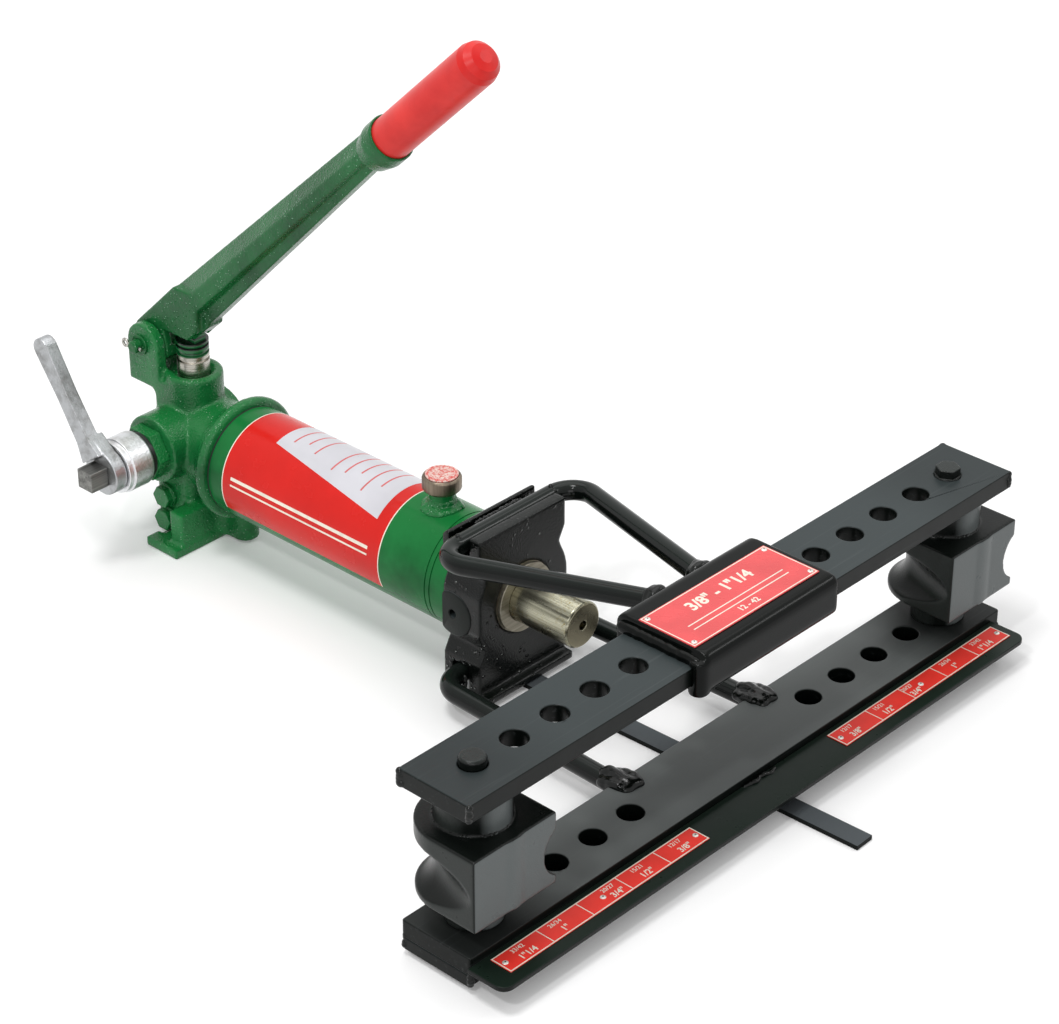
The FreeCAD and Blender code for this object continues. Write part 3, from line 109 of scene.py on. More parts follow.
class Steps:
    """Short ways to add nodes to a tree."""

    def __init__(self, tree):
        self.tree = tree

    def step(self, kind, feeds, output=0, **settings):
        """One node, with its inputs joined or set, and the output that matters."""
        made = self.tree.nodes.new(kind)
        for name, value in settings.items():
            setattr(made, name, value)
        sockets = {socket.identifier: socket for socket in made.inputs}
        for name, value in feeds.items():
            if hasattr(value, "is_output"):
                self.tree.links.new(value, sockets[name])
            elif value is not None:
                sockets[name].default_value = value
        if isinstance(output, int):
            return made.outputs[output]
        return next(socket for socket in made.outputs if socket.identifier == output)

    def maths(self, kind, first, second=0.0):
        """Two sockets, or a socket and a number, through one sum."""
        return self.step("ShaderNodeMath", {"Value": first, "Value_001": second}, operation=kind)

    def spread(self, factor, low, high, start=0.0, end=1.0):
        """A factor stretched from one range to another."""
        return self.step("ShaderNodeMapRange", {"Value": factor, "From Min": start, "From Max": end,
                                                "To Min": low, "To Max": high})

    def seen(self):
        """1 for what the camera sees, also in a mirror or through glass, and 0 for falling light."""
        path = self.tree.nodes.new("ShaderNodeLightPath").outputs
        mirrored = self.maths("ADD", path["Is Camera Ray"], path["Is Glossy Ray"])
        return self.maths("ADD", mirrored, path["Is Transmission Ray"])


# %% [markdown]
# A finish is such a tree with a Principled shader, and patterns to feed it. Patterns use Object
# coordinates in metres, so a scale of 200 is a cell of five millimetres. The last method makes the
# drops that dried in thick paint: low domes in patches, each with a pale crown painted on as a
# highlight.

# %% A small kit for finishes


class Finish(Steps):
    """A material with a Principled shader, and short ways to add patterns to it."""

    def __init__(self, name, colour, roughness, **sockets):
        self.material = bpy.data.materials.new(name)
        self.material.use_nodes = True
        super().__init__(self.material.node_tree)
        self.shader = self.tree.nodes["Principled BSDF"]
        for socket, value in {"Base Color": (*colour, 1), "Roughness": roughness, **sockets}.items():
            self.shader.inputs[socket.replace("_", " ")].default_value = value
        coordinates = self.tree.nodes.new("ShaderNodeTexCoord").outputs
        self.where, self.normal = coordinates["Object"], coordinates["Normal"]

    def feed(self, socket, output):
        """A pattern for an input of the shader."""
        self.tree.links.new(output, self.shader.inputs[socket])

    def mapped(self, scale, shift=(0, 0, 0)):
        """Coordinates stretched and moved."""
        return self.step("ShaderNodeMapping", {"Vector": self.where, "Location": shift, "Scale": scale})

    def part(self, axis, source):
        """One of the three numbers of a vector."""
        return self.step("ShaderNodeSeparateXYZ", {"Vector": source}, axis)

    def facing(self, axis):
        """How far the surface of the piece looks along one of its axes, from -1 to 1."""
        return self.part(axis, self.normal)

    def noise(self, scale, detail=3, rough=0.5, source=None, bend=0):
        """Cloudy noise, from 0 to 1."""
        return self.step("ShaderNodeTexNoise", {"Vector": source or self.where, "Scale": scale,
                                                "Detail": detail, "Roughness": rough, "Distortion": bend})

    def cells(self, scale, feature="F1", smooth=None):
        """Distance to scattered points, for pits and pebbles."""
        return self.step("ShaderNodeTexVoronoi", {"Vector": self.where, "Scale": scale,
                                                  "Smoothness": smooth}, feature=feature)

    def ramp(self, factor, *stops):
        """A colour or a grey for each value of a factor."""
        made = self.tree.nodes.new("ShaderNodeValToRGB")
        self.tree.links.new(factor, made.inputs["Fac"])
        keys = made.color_ramp.elements
        while len(keys) < len(stops):
            keys.new(0.5)
        for key, (place, colour) in zip(keys, stops):
            key.position = place
            key.color = (*colour, 1) if hasattr(colour, "__len__") else (colour, colour, colour, 1)
        return made.outputs["Color"]

    def blend(self, factor, low, high):
        """One colour over another."""
        low, high = (tone if hasattr(tone, "is_output") else (*tone, 1) for tone in (low, high))
        return self.step("ShaderNodeMix", {"Factor_Float": factor, "A_Color": low, "B_Color": high},
                         "Result_Color", data_type="RGBA")

    def bump(self, height, strength, distance, under=None):
        """A relief, in metres, on the surface or on another relief."""
        relief = self.step("ShaderNodeBump", {"Strength": strength, "Distance": distance,
                                              "Height": height, "Normal": under})
        self.feed("Normal", relief)
        return relief

    def drops(self, scale, patches, foot, crown, relief, coat, pale, under):
        """Drops of dried paint in patches, in the relief, and a pale painted highlight on the top of each,
        in the coat.
        """
        beads = self.cells(scale)
        cloud, start, end = patches
        wet = self.spread(self.noise(cloud, 3), 0, 1, start, end)
        domes = self.maths("MULTIPLY", self.ramp(beads, (0.0, 1.0), (foot, 0.0)), wet)
        self.bump(domes, *relief, under)
        # Each dome's top is painted pale: a painted highlight.
        painted_glints = self.maths("MULTIPLY", self.ramp(beads, (crown[0], 1.0), (crown[1], 0.0)), wet)
        self.feed("Base Color", self.blend(painted_glints, coat, pale))


def srgb(red, green, blue):
    """A colour as a picture editor shows it, in the scene's own linear numbers."""
    def linear(value):
        value /= 255
        return value / 12.92 if value <= 0.04045 else ((value + 0.055) / 1.055) ** 2.4
    return linear(red), linear(green), linear(blue)


# %% [markdown]
# The pump, its lever and the tank wear the same green enamel, but over different metal. Sand-cast
# iron keeps a pebbled skin under the paint, which with its drops breaks every highlight into sparks,
# and each drop has a pale painted highlight on top, while the drawn tube of the tank only has the
# faint orange peel of sprayed paint. The colour is deeper where the paint is thick, and is painted a
# touch darker where a face looks up to the lamps, as painted shade. The lever's enamel is darkened
# all over, which is painted shade too.

# %% Green enamel
# The third green is painted shade, for faces that look up to the lamps.
LEAF, DEEP_LEAF, LEAF_SHADED_TOP = srgb(27, 115, 58), srgb(8, 78, 36), srgb(22, 113, 52)


def green_enamel(name, pebble, peel=0.00012, rough=0.18, gloss=0.3, shade=1.0):
    """Green paint over a skin of pebbles of some height, or over smooth metal, every tone multiplied by
    shade, a painted shade.
    """
    leaf, deep, above = (tuple(value * shade for value in tone) for tone in (LEAF, DEEP_LEAF, LEAF_SHADED_TOP))
    made = Finish(name, leaf, rough, Specular_IOR_Level=gloss)
    thick = made.noise(16, 4, 0.6)
    painted = made.ramp(thick, (0.3, deep), (0.6, leaf))
    # Faces that look up take the third green: painted shade.
    coat = made.blend(made.spread(made.facing("Z"), 0, 0.75, 0.2, 0.95), painted, above)
    made.feed("Base Color", coat)
    made.feed("Roughness", made.spread(made.noise(90, 2), rough - 0.05, rough + 0.1))
    skin = made.bump(made.noise(240, 2, 0.5), 0.5, peel)
    if pebble:
        grains = made.cells(650, "SMOOTH_F1", smooth=0.5)
        skin = made.bump(grains, 0.6, pebble, skin)
        skin = made.bump(made.noise(70, 3, 0.6), 0.5, pebble * 2.2, skin)
        # The pale green is painted on the drops' tops as highlights.
        made.drops(330, (24, 0.44, 0.56), 0.32, (0.09, 0.15), (0.8, pebble * 1.2), coat,
                   srgb(150, 205, 168), skin)
    return made.material


green_cast = green_enamel("green_cast", 0.0007, rough=0.15)
# The lever's greens are darkened to 0.7: painted shade.
green_lever = green_enamel("green_lever", 0.0005, gloss=0.24, shade=0.7)
green_tube = green_enamel("green_tube", 0, 0.00004, 0.22, 0.14)
print("green finishes", green_cast.name, green_lever.name, green_tube.name)

# %% [markdown]
# Everything round the ram is black. The paint is nearly black with a touch of green where it stands
# upright, and slate grey where it looks up: partly fine dust that lies on it there, partly a painted
# sheen of the wide lamp overhead. A ramp on the surface's own direction mixes the two, so this
# painted shade stays on the piece when it turns. Faces that look ahead or to the left get painted
# light and shade of their own on some pieces. The flat bars are smooth and faintly scratched, and
# towards their ends a painted shadow takes the grey off their tops; the head and the blocks are rough
# castings, and the head's drops carry pale painted highlights.

# %% Black enamel
INK, PITCH, SLATE = srgb(9, 13, 11), srgb(4, 7, 6), srgb(57, 64, 65)
# Between these distances from the middle, a painted shadow takes the grey off the wings' tops.
END_SHADOW_BEGINS, END_SHADOW_IS_FULL = 0.19, 0.245


def black_enamel(name, rough, above=SLATE, side=INK, ahead=None, left=None, pebble=0.0, drops=0.0,
                 gloss=0.2, scratched=0.0, end_shadow=None):
    """Black paint, with dust and a painted sheen for faces that look up, and painted light and shade for
    faces that look ahead or to the left.
    """
    made = Finish(name, side, rough, Specular_IOR_Level=gloss)
    painted = made.blend(made.spread(made.noise(30, 4, 0.6), 0, 0.6, 0.4, 0.7), side, PITCH)
    # The grey for faces that look up, dimmer in clouds, is dust and a painted sheen of the lamp overhead.
    thin = tuple(value * 0.7 for value in above)
    dust_and_sheen = made.blend(made.spread(made.noise(5, 2), 0, 0.5, 0.4, 0.65), above, thin)
    # Towards the ends that grey gives way to the side tone: a painted shadow.
    if end_shadow:
        outwards = made.maths("ABSOLUTE", made.part("Y", made.where))
        dust_and_sheen = made.blend(made.spread(outwards, 0, end_shadow, END_SHADOW_BEGINS, END_SHADOW_IS_FULL), dust_and_sheen, side)
    painted = made.blend(made.spread(made.facing("Z"), 0, 1, 0.45, 0.97), painted, dust_and_sheen)
    # The tones for faces that look ahead or to the left are painted light and shade.
    if ahead:
        painted = made.blend(made.spread(made.facing("X"), 0, 1, 0.8, 0.97), painted, ahead)
    if left:
        painted = made.blend(made.spread(made.facing("Y"), 0, 1, -0.85, -0.98), painted, left)
    if scratched:
        along = made.noise(1, 3, 0.6, made.mapped((330, 5, 330)), bend=0.4)
        lines = made.maths("MULTIPLY", made.ramp(along, (0.6, 0.0), (0.75, 1.0)), scratched)
        painted = made.blend(lines, painted, srgb(120, 126, 126))
    made.feed("Base Color", painted)
    made.feed("Roughness", made.spread(made.noise(60, 3, 0.6), rough - 0.06, rough + 0.1))
    skin = made.bump(made.noise(150, 2), 0.4, 0.00005)
    if pebble:
        skin = made.bump(made.noise(900, 2, 0.5), 0.6, pebble, skin)
    if drops:
        # The pale grey is painted on the drops' tops as highlights.
        made.drops(190, (26, 0.46, 0.56), 0.3, (0.07, 0.12), (1.0, drops), painted,
                   srgb(176, 182, 178), skin)
    return made.material


# Below, the up tones are dust and painted sheen, and the ahead and left tones painted light and shade.
black_bar = black_enamel("black_bar", 0.3, gloss=0.14, scratched=0.12, end_shadow=0.3)
# The lower wing's top is painted lighter to make up for the upper wing's shadow: painted light.
black_lower = black_enamel("black_lower", 0.32, above=srgb(102, 106, 105), gloss=0.12,
                           scratched=0.12, end_shadow=0.85)
black_sleeve = black_enamel("black_sleeve", 0.16, above=srgb(8, 11, 9), side=srgb(6, 8, 7), gloss=0.12)
black_ledge = black_enamel("black_ledge", 0.28, above=srgb(24, 36, 29), gloss=0.16)
black_leg = black_enamel("black_leg", 0.5, above=srgb(84, 89, 92), gloss=0.1)
black_rod = black_enamel("black_rod", 0.12, above=srgb(26, 32, 29), gloss=0.2)
black_cast = black_enamel("black_cast", 0.14, above=srgb(13, 18, 15), left=srgb(9, 12, 11), pebble=0.0004,
                          drops=0.0016, gloss=0.24)
black_pad = black_enamel("black_pad", 0.3, left=srgb(26, 30, 28), pebble=0.0002, gloss=0.14)
black_block = black_enamel("black_block", 0.28, above=srgb(14, 18, 16), ahead=srgb(92, 97, 97),
                           left=srgb(38, 42, 40), pebble=0.0002, gloss=0.18)
black_pin = black_enamel("black_pin", 0.24, above=srgb(30, 36, 34), pebble=0.0003, gloss=0.25)
black_weld = black_enamel("black_weld", 0.14, above=srgb(10, 13, 11), pebble=0.0001, gloss=0.26)
print("black finishes made")

# %% [markdown]
# Bare metal is next. The ram was ground and then zinc plated, which leaves a dull khaki with long
# streaks along its axis and a darker end face; the pump plunger is bright turned steel where it has
# been wiped and green where it has not, with painted shade in the troughs of its grooves; the release
# arm is cast aluminium, pale, grainy and a little stained.

# %% Bare metals
def scales(across, along, axis):
    """The scale of a pattern on X, Y and Z, with its own value along one axis."""
    return [along if name == axis else across for name in "XYZ"]


def streaked_metal(name, dark, light, rough, axis, rings=0.0, end=None, speckle=None):
    """Metal worked along or round one axis: noise stretched along it, and fine turned rings."""
    made = Finish(name, light, rough, Metallic=1.0)
    streaks = made.noise(1, 4, 0.7, made.mapped(scales(260, 5, axis)))
    colour = made.ramp(streaks, (0.3, dark), (0.65, light))
    if speckle:
        spots = made.ramp(made.noise(420, 4, 0.7), (0.52, 0.0), (0.64, 0.75))
        patch = made.spread(made.noise(50, 3), 0, 1, 0.42, 0.62)
        colour = made.blend(made.maths("MULTIPLY", spots, patch), colour, speckle)
    if end:
        colour = made.blend(made.spread(made.facing(axis), 0, 1, 0.8, 0.95), colour, end)
    made.feed("Base Color", colour)
    made.feed("Roughness", made.spread(made.noise(45, 3, 0.6), rough - 0.1, rough + 0.14))
    skin = made.bump(streaks, 0.25, 0.00008)
    if rings:
        made.bump(made.noise(1, 1, 0.5, made.mapped(scales(1, rings, axis))), 0.2, 0.00006, skin)
    return made.material


ram_zinc = streaked_metal("ram_zinc", srgb(80, 78, 60), srgb(184, 182, 162), 0.24, "X",
                          end=srgb(142, 136, 114), speckle=srgb(128, 112, 58))
gland_steel = streaked_metal("gland_steel", srgb(116, 111, 97), srgb(166, 160, 145), 0.42, "Y")
turned_steel = streaked_metal("turned_steel", srgb(120, 118, 112), srgb(205, 202, 196), 0.24, "Z", 1500.0)
spindle_steel = streaked_metal("spindle_steel", srgb(84, 84, 82), srgb(140, 140, 136), 0.4, "Y", 800.0)
cap_metal = streaked_metal("cap_metal", srgb(98, 88, 76), srgb(140, 127, 112), 0.38, "Z")


def plunger_finish(paint_from=0.1555, paint_is_full=0.1565):
    """Turned steel, and green paint with turned grooves above a height, their troughs darkened as painted
    shade.
    """
    made = Finish("plunger_finish", srgb(190, 187, 180), 0.26)
    paint = made.spread(made.part("Z", made.where), 0, 1, paint_from, paint_is_full)
    bare = made.spread(paint, 1, 0)
    made.feed("Metallic", bare)
    streaks = made.noise(1, 3, 0.6, made.mapped((40, 40, 900)))
    steel = made.ramp(streaks, (0.3, srgb(120, 116, 106)), (0.7, srgb(214, 210, 202)))
    grooves = made.step("ShaderNodeTexWave", {"Vector": made.where, "Scale": 75}, "Fac", bands_direction="Z")
    # The troughs of the grooves are painted dark green: painted shade.
    green = made.ramp(grooves, (0.12, srgb(6, 22, 12)), (0.4, srgb(14, 92, 46)))
    made.feed("Base Color", made.blend(paint, steel, green))
    made.bump(made.maths("MULTIPLY", grooves, paint), 0.5, 0.0006)
    return made.material


def cast_aluminium(name, dark, light, grain):
    """Aluminium as it left the mould, with a fine grain and a few faint stains."""
    made = Finish(name, light, 0.4, Metallic=1.0)
    stain = made.noise(60, 5, 0.65)
    made.feed("Base Color", made.ramp(stain, (0.28, dark), (0.55, light)))
    made.feed("Roughness", made.spread(made.noise(160, 3), 0.28, 0.46))
    skin = made.bump(made.cells(600), 0.6, grain)
    made.bump(made.noise(110, 4, 0.65), 0.5, grain * 2, skin)
    return made.material


plunger_metal = plunger_finish()
bare_aluminium = cast_aluminium("turned_aluminium", srgb(176, 175, 172), srgb(220, 221, 223), 0.0003)
arm_aluminium = cast_aluminium("arm_aluminium", srgb(124, 124, 122), srgb(174, 176, 178), 0.00032)
print("metals made")

# %% [markdown]
# Rubber, plastic and print fill the small places. The grip is soft red rubber: satin in its body,
# with a broad pale sheen where the light grazes it and a fine bloom of dust. The plates are sheet
# aluminium printed red, and the print itself is a thin layer of cream ink.

# %% Rubber, plastic and print
def soft_red():
    """Dipped rubber, a little uneven in colour and in shine."""
    made = Finish("grip_rubber", srgb(214, 38, 36), 0.3, Specular_IOR_Level=0.24, Sheen_Weight=0.06)
    cloudy = made.noise(26, 4, 0.6)
    made.feed("Base Color", made.ramp(cloudy, (0.3, srgb(198, 26, 24)), (0.7, srgb(220, 46, 40))))
    made.feed("Roughness", made.spread(made.noise(120, 3), 0.28, 0.42))
    made.bump(made.noise(420, 2), 0.4, 0.00006)
    return made.material


def plain_part(name, colour, rough, metallic=0.0, grain=300, relief=0.00005, gloss=0.5):
    """A small or thin part: one colour, a little uneven, with grain in its gloss and its skin."""
    made = Finish(name, colour, rough, Metallic=metallic, Specular_IOR_Level=gloss)
    dull = tuple(value * 0.88 for value in colour)
    made.feed("Base Color", made.ramp(made.noise(grain * 0.3, 3), (0.35, dull), (0.6, colour)))
    made.feed("Roughness", made.spread(made.noise(grain, 3), rough - 0.08, rough + 0.1))
    made.bump(made.noise(grain * 1.7, 2), 0.3, relief)
    return made.material


grip_rubber = soft_red()
seal_rubber = plain_part("seal_rubber", srgb(22, 22, 22), 0.6)
dark_plastic = plain_part("dark_plastic", srgb(24, 25, 24), 0.4)
dark_steel = plain_part("dark_steel", srgb(52, 52, 50), 0.42, 0.7)
spring_steel = plain_part("spring_steel", srgb(110, 110, 112), 0.35, 1.0)
rivet_metal = plain_part("rivet_metal", srgb(228, 226, 218), 0.32, 0.4)
# The pit's dark colour is painted shade of the rivet's hollow.
rivet_pit = plain_part("rivet_pit", srgb(70, 66, 58), 0.5, 0.6)
plate_red = plain_part("plate_red", srgb(242, 62, 52), 0.3, grain=120, relief=0.00002, gloss=0.2)
sleeve_red = plain_part("sleeve_red", srgb(226, 78, 80), 0.26, grain=120, relief=0.00002)
label_red = plain_part("label_red", srgb(212, 33, 27), 0.24, grain=60, relief=0.00002, gloss=0.2)
label_pale = plain_part("label_pale", srgb(207, 206, 212), 0.3, grain=60, relief=0.00002)
cream_ink = plain_part("cream_ink", srgb(238, 230, 214), 0.4, grain=400, relief=0.00001)
rose_ink = plain_part("rose_ink", srgb(206, 92, 92), 0.4, grain=400, relief=0.00001)
print("materials", len(bpy.data.materials))

# %% [markdown]
# Real edges are never knife sharp. A small rounding on each edge catches a thin line of light and
# tells the eye how big and how heavy a piece is. A copy of the drawn piece is welded into one mesh,
# flat faces are merged, a Bevel modifier rounds what is sharper than 35 degrees, and a Weighted
# Normal modifier keeps the large flat faces flat in the shading.

# %% Copies of drawn pieces with rounded edges
def welded_copy(node, name, flatten=0.6):
    """A copy of a drawn piece whose loose triangles are joined up again."""
    mesh = nodes[node].data.copy()
    mesh.materials.clear()
    work = bmesh.new()
    work.from_mesh(mesh)
    bmesh.ops.remove_doubles(work, verts=work.verts, dist=2e-6)
    if flatten:
        bmesh.ops.dissolve_limit(work, angle_limit=math.radians(flatten), verts=work.verts, edges=work.edges)
    work.to_mesh(mesh)
    work.free()
    for layer in ("custom_normal", "sharp_edge", "sharp_face"):
        if layer in mesh.attributes:
            mesh.attributes.remove(mesh.attributes[layer])
    return linked(name, mesh)


def plain_mesh(piece):
    """What the modifiers of an object make, as one plain mesh."""
    graph = bpy.context.evaluated_depsgraph_get()
    return bpy.data.meshes.new_from_object(piece.evaluated_get(graph), depsgraph=graph)


def settle(piece, name, material, body, stands_for=()):
    """Apply the modifiers, give the finish, and hand the piece to its body."""
    mesh = plain_mesh(piece)
    piece.modifiers.clear()
    piece.data = mesh
    piece.name = mesh.name = name
    if material is not None:
        mesh.materials.clear()
        mesh.materials.append(material)
    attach(piece, body)
    if stands_for:
        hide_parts(*stands_for)
    return piece


def edged(node, material, width=0.9, segments=3):
    """Stand-in for a drawn piece, with every sharp edge rounded by a width in millimetres."""
    piece = welded_copy(node, f"{node}_round")
    piece.data.shade_smooth()
    bevel = piece.modifiers.new("edges", "BEVEL")
    bevel.width = width / 1000
    bevel.segments = segments
    bevel.limit_method = "ANGLE"
    bevel.angle_limit = math.radians(35)
    bevel.use_clamp_overlap = False
    flat = piece.modifiers.new("flat", "WEIGHTED_NORMAL")
    flat.keep_sharp = True
    flat.weight = 100
    settle(piece, f"{node}_painted", material, body_of[node], [node])


edged("upper_wing", black_bar, 1.4, 4)
edged("lower_wing", black_lower, 1.2, 4)
edged("lower_wing_plate", black_bar)
edged("scale_ledge", black_ledge, 0.7)
edged("front_leg", black_leg, 0.5)
for pin in ("support_pin_left", "support_pin_right"):
    edged(pin, black_pin, 0.8)
for part, metal in (("ram", ram_zinc), ("gland_collar", gland_steel), ("valve_collar", bare_aluminium),
                    ("lever_pin", green_lever), ("lever_pin_washer", green_lever),
                    ("valve_spindle", spindle_steel)):
    edged(part, metal, 0.6)
for plug in ("suction_plug", "delivery_plug", "valve_nut"):
    edged(plug, green_cast, 0.8)
for plate, print_colour in (("scale_plate_left", plate_red), ("scale_plate_right", plate_red),
                            ("sleeve_plate", sleeve_red)):
    edged(plate, print_colour, 0.2, 2)
print("rounded pieces made")

# %% [markdown]
# A sand casting has no sharp edge at all: the mould rounds the outer corners and leaves a fillet in
# every inner one. Remeshing the drawn solid into small cells and then relaxing them gives both at
# once, because corners shrink and hollows fill by about the same amount. The sleeve on the upper
# wing is relaxed the most, since its edges are the softest.

# %% Castings
def cast(node, material, cell, rounds):
    """Stand-in for a cast piece: remeshed in cells of some millimetres, then relaxed."""
    piece = welded_copy(node, f"{node}_mould", flatten=0)
    cells = piece.modifiers.new("cells", "REMESH")
    cells.mode = "VOXEL"
    cells.voxel_size = cell / 1000
    relax = piece.modifiers.new("relax", "SMOOTH")
    relax.factor = 0.5
    relax.iterations = rounds
    settle(piece, f"{node}_cast", material, body_of[node], [node])
    piece.data.shade_smooth()
    print(piece.name, "faces", len(piece.data.polygons))


cast("pump_body", green_cast, 1.3, 9)
cast("pump_lever", green_lever, 0.9, 7)
cast("ram_head", black_cast, 1.2, 5)
cast("support_block_left", black_block, 1.1, 6)
cast("support_block_right", black_block, 1.1, 6)
cast("release_arm", arm_aluminium, 0.6, 9)
cast("wing_sleeve", black_sleeve, 1.1, 28)

# %% [markdown]
# Welds and rivets repeat, so Geometry Nodes make them. This small class holds such a tree. Its inputs
# have names, and every tree ends by turning its copies into plain geometry and giving them their
# material.

# %% A small kit for Geometry Nodes
class Recipe(Steps):
    """A Geometry Nodes tree with named inputs."""

    def __init__(self, name, **inputs):
        super().__init__(bpy.data.node_groups.new(name, "GeometryNodeTree"))
        face = self.tree.interface
        for way in ("INPUT", "OUTPUT"):
            face.new_socket("Geometry", in_out=way, socket_type="NodeSocketGeometry")
        self.sockets = {}
        for label, kind in inputs.items():
            title = label.replace("_", " ")
            socket = face.new_socket(title, in_out="INPUT", socket_type=f"NodeSocket{kind}")
            self.sockets[label] = socket.identifier
        self.entry = self.tree.nodes.new("NodeGroupInput").outputs

    def given(self, label):
        """The socket that brings a named input into the tree."""
        return self.entry[label.replace("_", " ")]

    def close(self, geometry, finish=None):
        """Turn copies into plain geometry, give the finish, and end the tree."""
        plain = self.step("GeometryNodeRealizeInstances", {"Geometry": geometry})
        if finish is not None:
            plain = self.step("GeometryNodeSetMaterial", {"Geometry": plain, "Material": finish})
        self.tree.links.new(plain, self.tree.nodes.new("NodeGroupOutput").inputs[0])


def grown(recipe, source, name, body, **values):
    """Run a recipe on a source object, and hand the plain mesh that it makes to a body."""
    modifier = source.modifiers.new("recipe", "NODES")
    modifier.node_group = recipe.tree
    for label, value in values.items():
        modifier[recipe.sockets[label]] = value
    piece = settle(source, name, None, body)
    print(name, "faces", len(piece.data.polygons))
    return piece


# %% [markdown]
# A weld is a row of small puddles of metal, each laid half over the last. Sweeping a ring along the
# seam would give a smooth worm, so here points are set along the seam at the welder's pitch, nudged
# and sized a little at random, and melted into one skin through a volume. The skin is then relaxed.

# %% The recipe of a weld bead
weld = Recipe("weld_bead", Pitch="Float", Wander="Float", Uneven="Float", Cell="Float", Relax="Int",
              Seed="Int", Finish="Material")
seam = weld.step("GeometryNodeMeshToCurve", {"Mesh": weld.entry["Geometry"]})
puddles = weld.step("GeometryNodeCurveToPoints", {"Curve": seam, "Length": weld.given("Pitch")},
                    mode="LENGTH")
reach = weld.step("ShaderNodeVectorMath", {"Vector": (1, 1, 1), "Scale": weld.given("Wander")},
                  operation="SCALE")
back = weld.step("ShaderNodeVectorMath", {"Vector": reach, "Scale": -1.0}, operation="SCALE")
nudge = weld.step("FunctionNodeRandomValue", {"Min": back, "Max": reach, "Seed": weld.given("Seed")},
                  "Value", data_type="FLOAT_VECTOR")
puddles = weld.step("GeometryNodeSetPosition", {"Geometry": puddles, "Offset": nudge})
bead_size = weld.step("GeometryNodeInputNamedAttribute", {"Name": "bead"}, "Attribute", data_type="FLOAT")
smallest = weld.maths("SUBTRACT", 1.0, weld.given("Uneven"))
chance = weld.step("FunctionNodeRandomValue",
                   {"Min_001": smallest, "Max_001": 1.0, "Seed": weld.given("Seed")},
                   "Value_001", data_type="FLOAT")
puddle_size = weld.maths("MULTIPLY", bead_size, chance)
melt = weld.step("GeometryNodePointsToVolume",
                 {"Points": puddles, "Density": 1.0, "Radius": puddle_size,
                  "Voxel Size": weld.given("Cell")}, resolution_mode="VOXEL_SIZE")
skin = weld.step("GeometryNodeVolumeToMesh",
                 {"Volume": melt, "Voxel Size": weld.given("Cell"), "Threshold": 0.3},
                 resolution_mode="VOXEL_SIZE")
place = weld.step("GeometryNodeInputPosition", {})
relaxed = weld.step("GeometryNodeBlurAttribute", {"Value": place, "Iterations": weld.given("Relax")},
                    data_type="FLOAT_VECTOR")
skin = weld.step("GeometryNodeSetPosition", {"Geometry": skin, "Position": relaxed})
skin = weld.step("GeometryNodeSetShadeSmooth", {"Geometry": skin})
weld.close(skin, weld.given("Finish"))
print("weld steps", len(weld.tree.nodes))


def seams(name, runs, body, finish, pitch=2.2, wander=0.4, uneven=0.3, cell=0.55, relax=2, seed=1):
    """Weld beads along several runs of points, each run with the radius of its bead."""
    points, links, sizes = [], [], []
    for size, run in runs:
        start = len(points)
        points += [at(*point) for point in run]
        links += [(start + index, start + index + 1) for index in range(len(run) - 1)]
        sizes += [size / 1000] * len(run)
    mesh = bpy.data.meshes.new(name)
    mesh.from_pydata(points, links, [])
    mesh.attributes.new("bead", "FLOAT", "POINT").data.foreach_set("value", sizes)
    grown(weld, linked(name, mesh), name, body, Pitch=pitch / 1000, Wander=wander / 1000,
          Uneven=uneven, Cell=cell / 1000, Relax=relax, Seed=seed, Finish=finish)


def ring(centre, radius, axis, start=0, end=360, steps=24):
    """Points on an arc round an axis, in millimetres from the line of holes."""
    points = []
    for index in range(steps + 1):
        turn = math.radians(start + (end - start) * index / steps)
        a, b = radius * math.cos(turn), radius * math.sin(turn)
        shift = {"X": (0, a, b), "Y": (a, 0, b), "Z": (a, b, 0)}[axis]
        points.append(tuple(value + move for value, move in zip(centre, shift)))
    return points


# %% [markdown]
# The frame is held together by these beads: each tie rod is welded into the head, to the back of the
# sleeve or to the back of the lower wing, the ledge and the stiffening bar are tacked to that wing,
# and the filler neck stands in a ring of weld that was painted with the tank. The sleeve has a bead
# along each end, the wings have a short one on each corner, and each block a thin ring on its top.
# The tank's round and the place of the filler on it serve the label and the cap further down too.

# %% Welds of the frame
TANK_RADIUS, TANK_LEVEL, FILLER = 46.0, 79.0, -284
rod_runs, lump_runs = [], []
for side in (-1, 1):
    across = side * 50.5
    rod_runs += [
        (2.6, [(-216, across, 136), (-214, across, 143), (-218, across, 146)]),
        (2.4, [(-212, across, 24), (-212, side * 51, 15)]),
    ]
    across = side * 76
    lump_runs += [
        (5.0, ring((-45.5, side * 23.6, 151.6), 7.6, "X", -80, 260)),
        (3.8, ring((-50.5, side * 24.2, 151.4), 7.4, "X", -60, 240)),
        (6.2, [(-46, across, 28), (-37, across + 1, 30), (-28, across - 1, 30.5), (-20, across + 1, 29)]),
    ]
    for y, end in ((across - 8, across - 5), (across + 8, across + 5)):
        lump_runs.append((5.4, [(-42, y, 26), (-35, y, 28), (-27, y, 29.5), (-19, end, 28.5)]))
    for way in (-1, 1):
        lump_runs.append((3.4, [(-35, across + way * 10, 22), (-35, across + way * 8, 17)]))
rod_runs += [
    (2.4, [(-211.5, -22, 133.5), (-210.5, 24, 133.5)]),
    (2.2, [(-224.5, -24, 143.4), (-224.5, 24, 143.4)]),
]
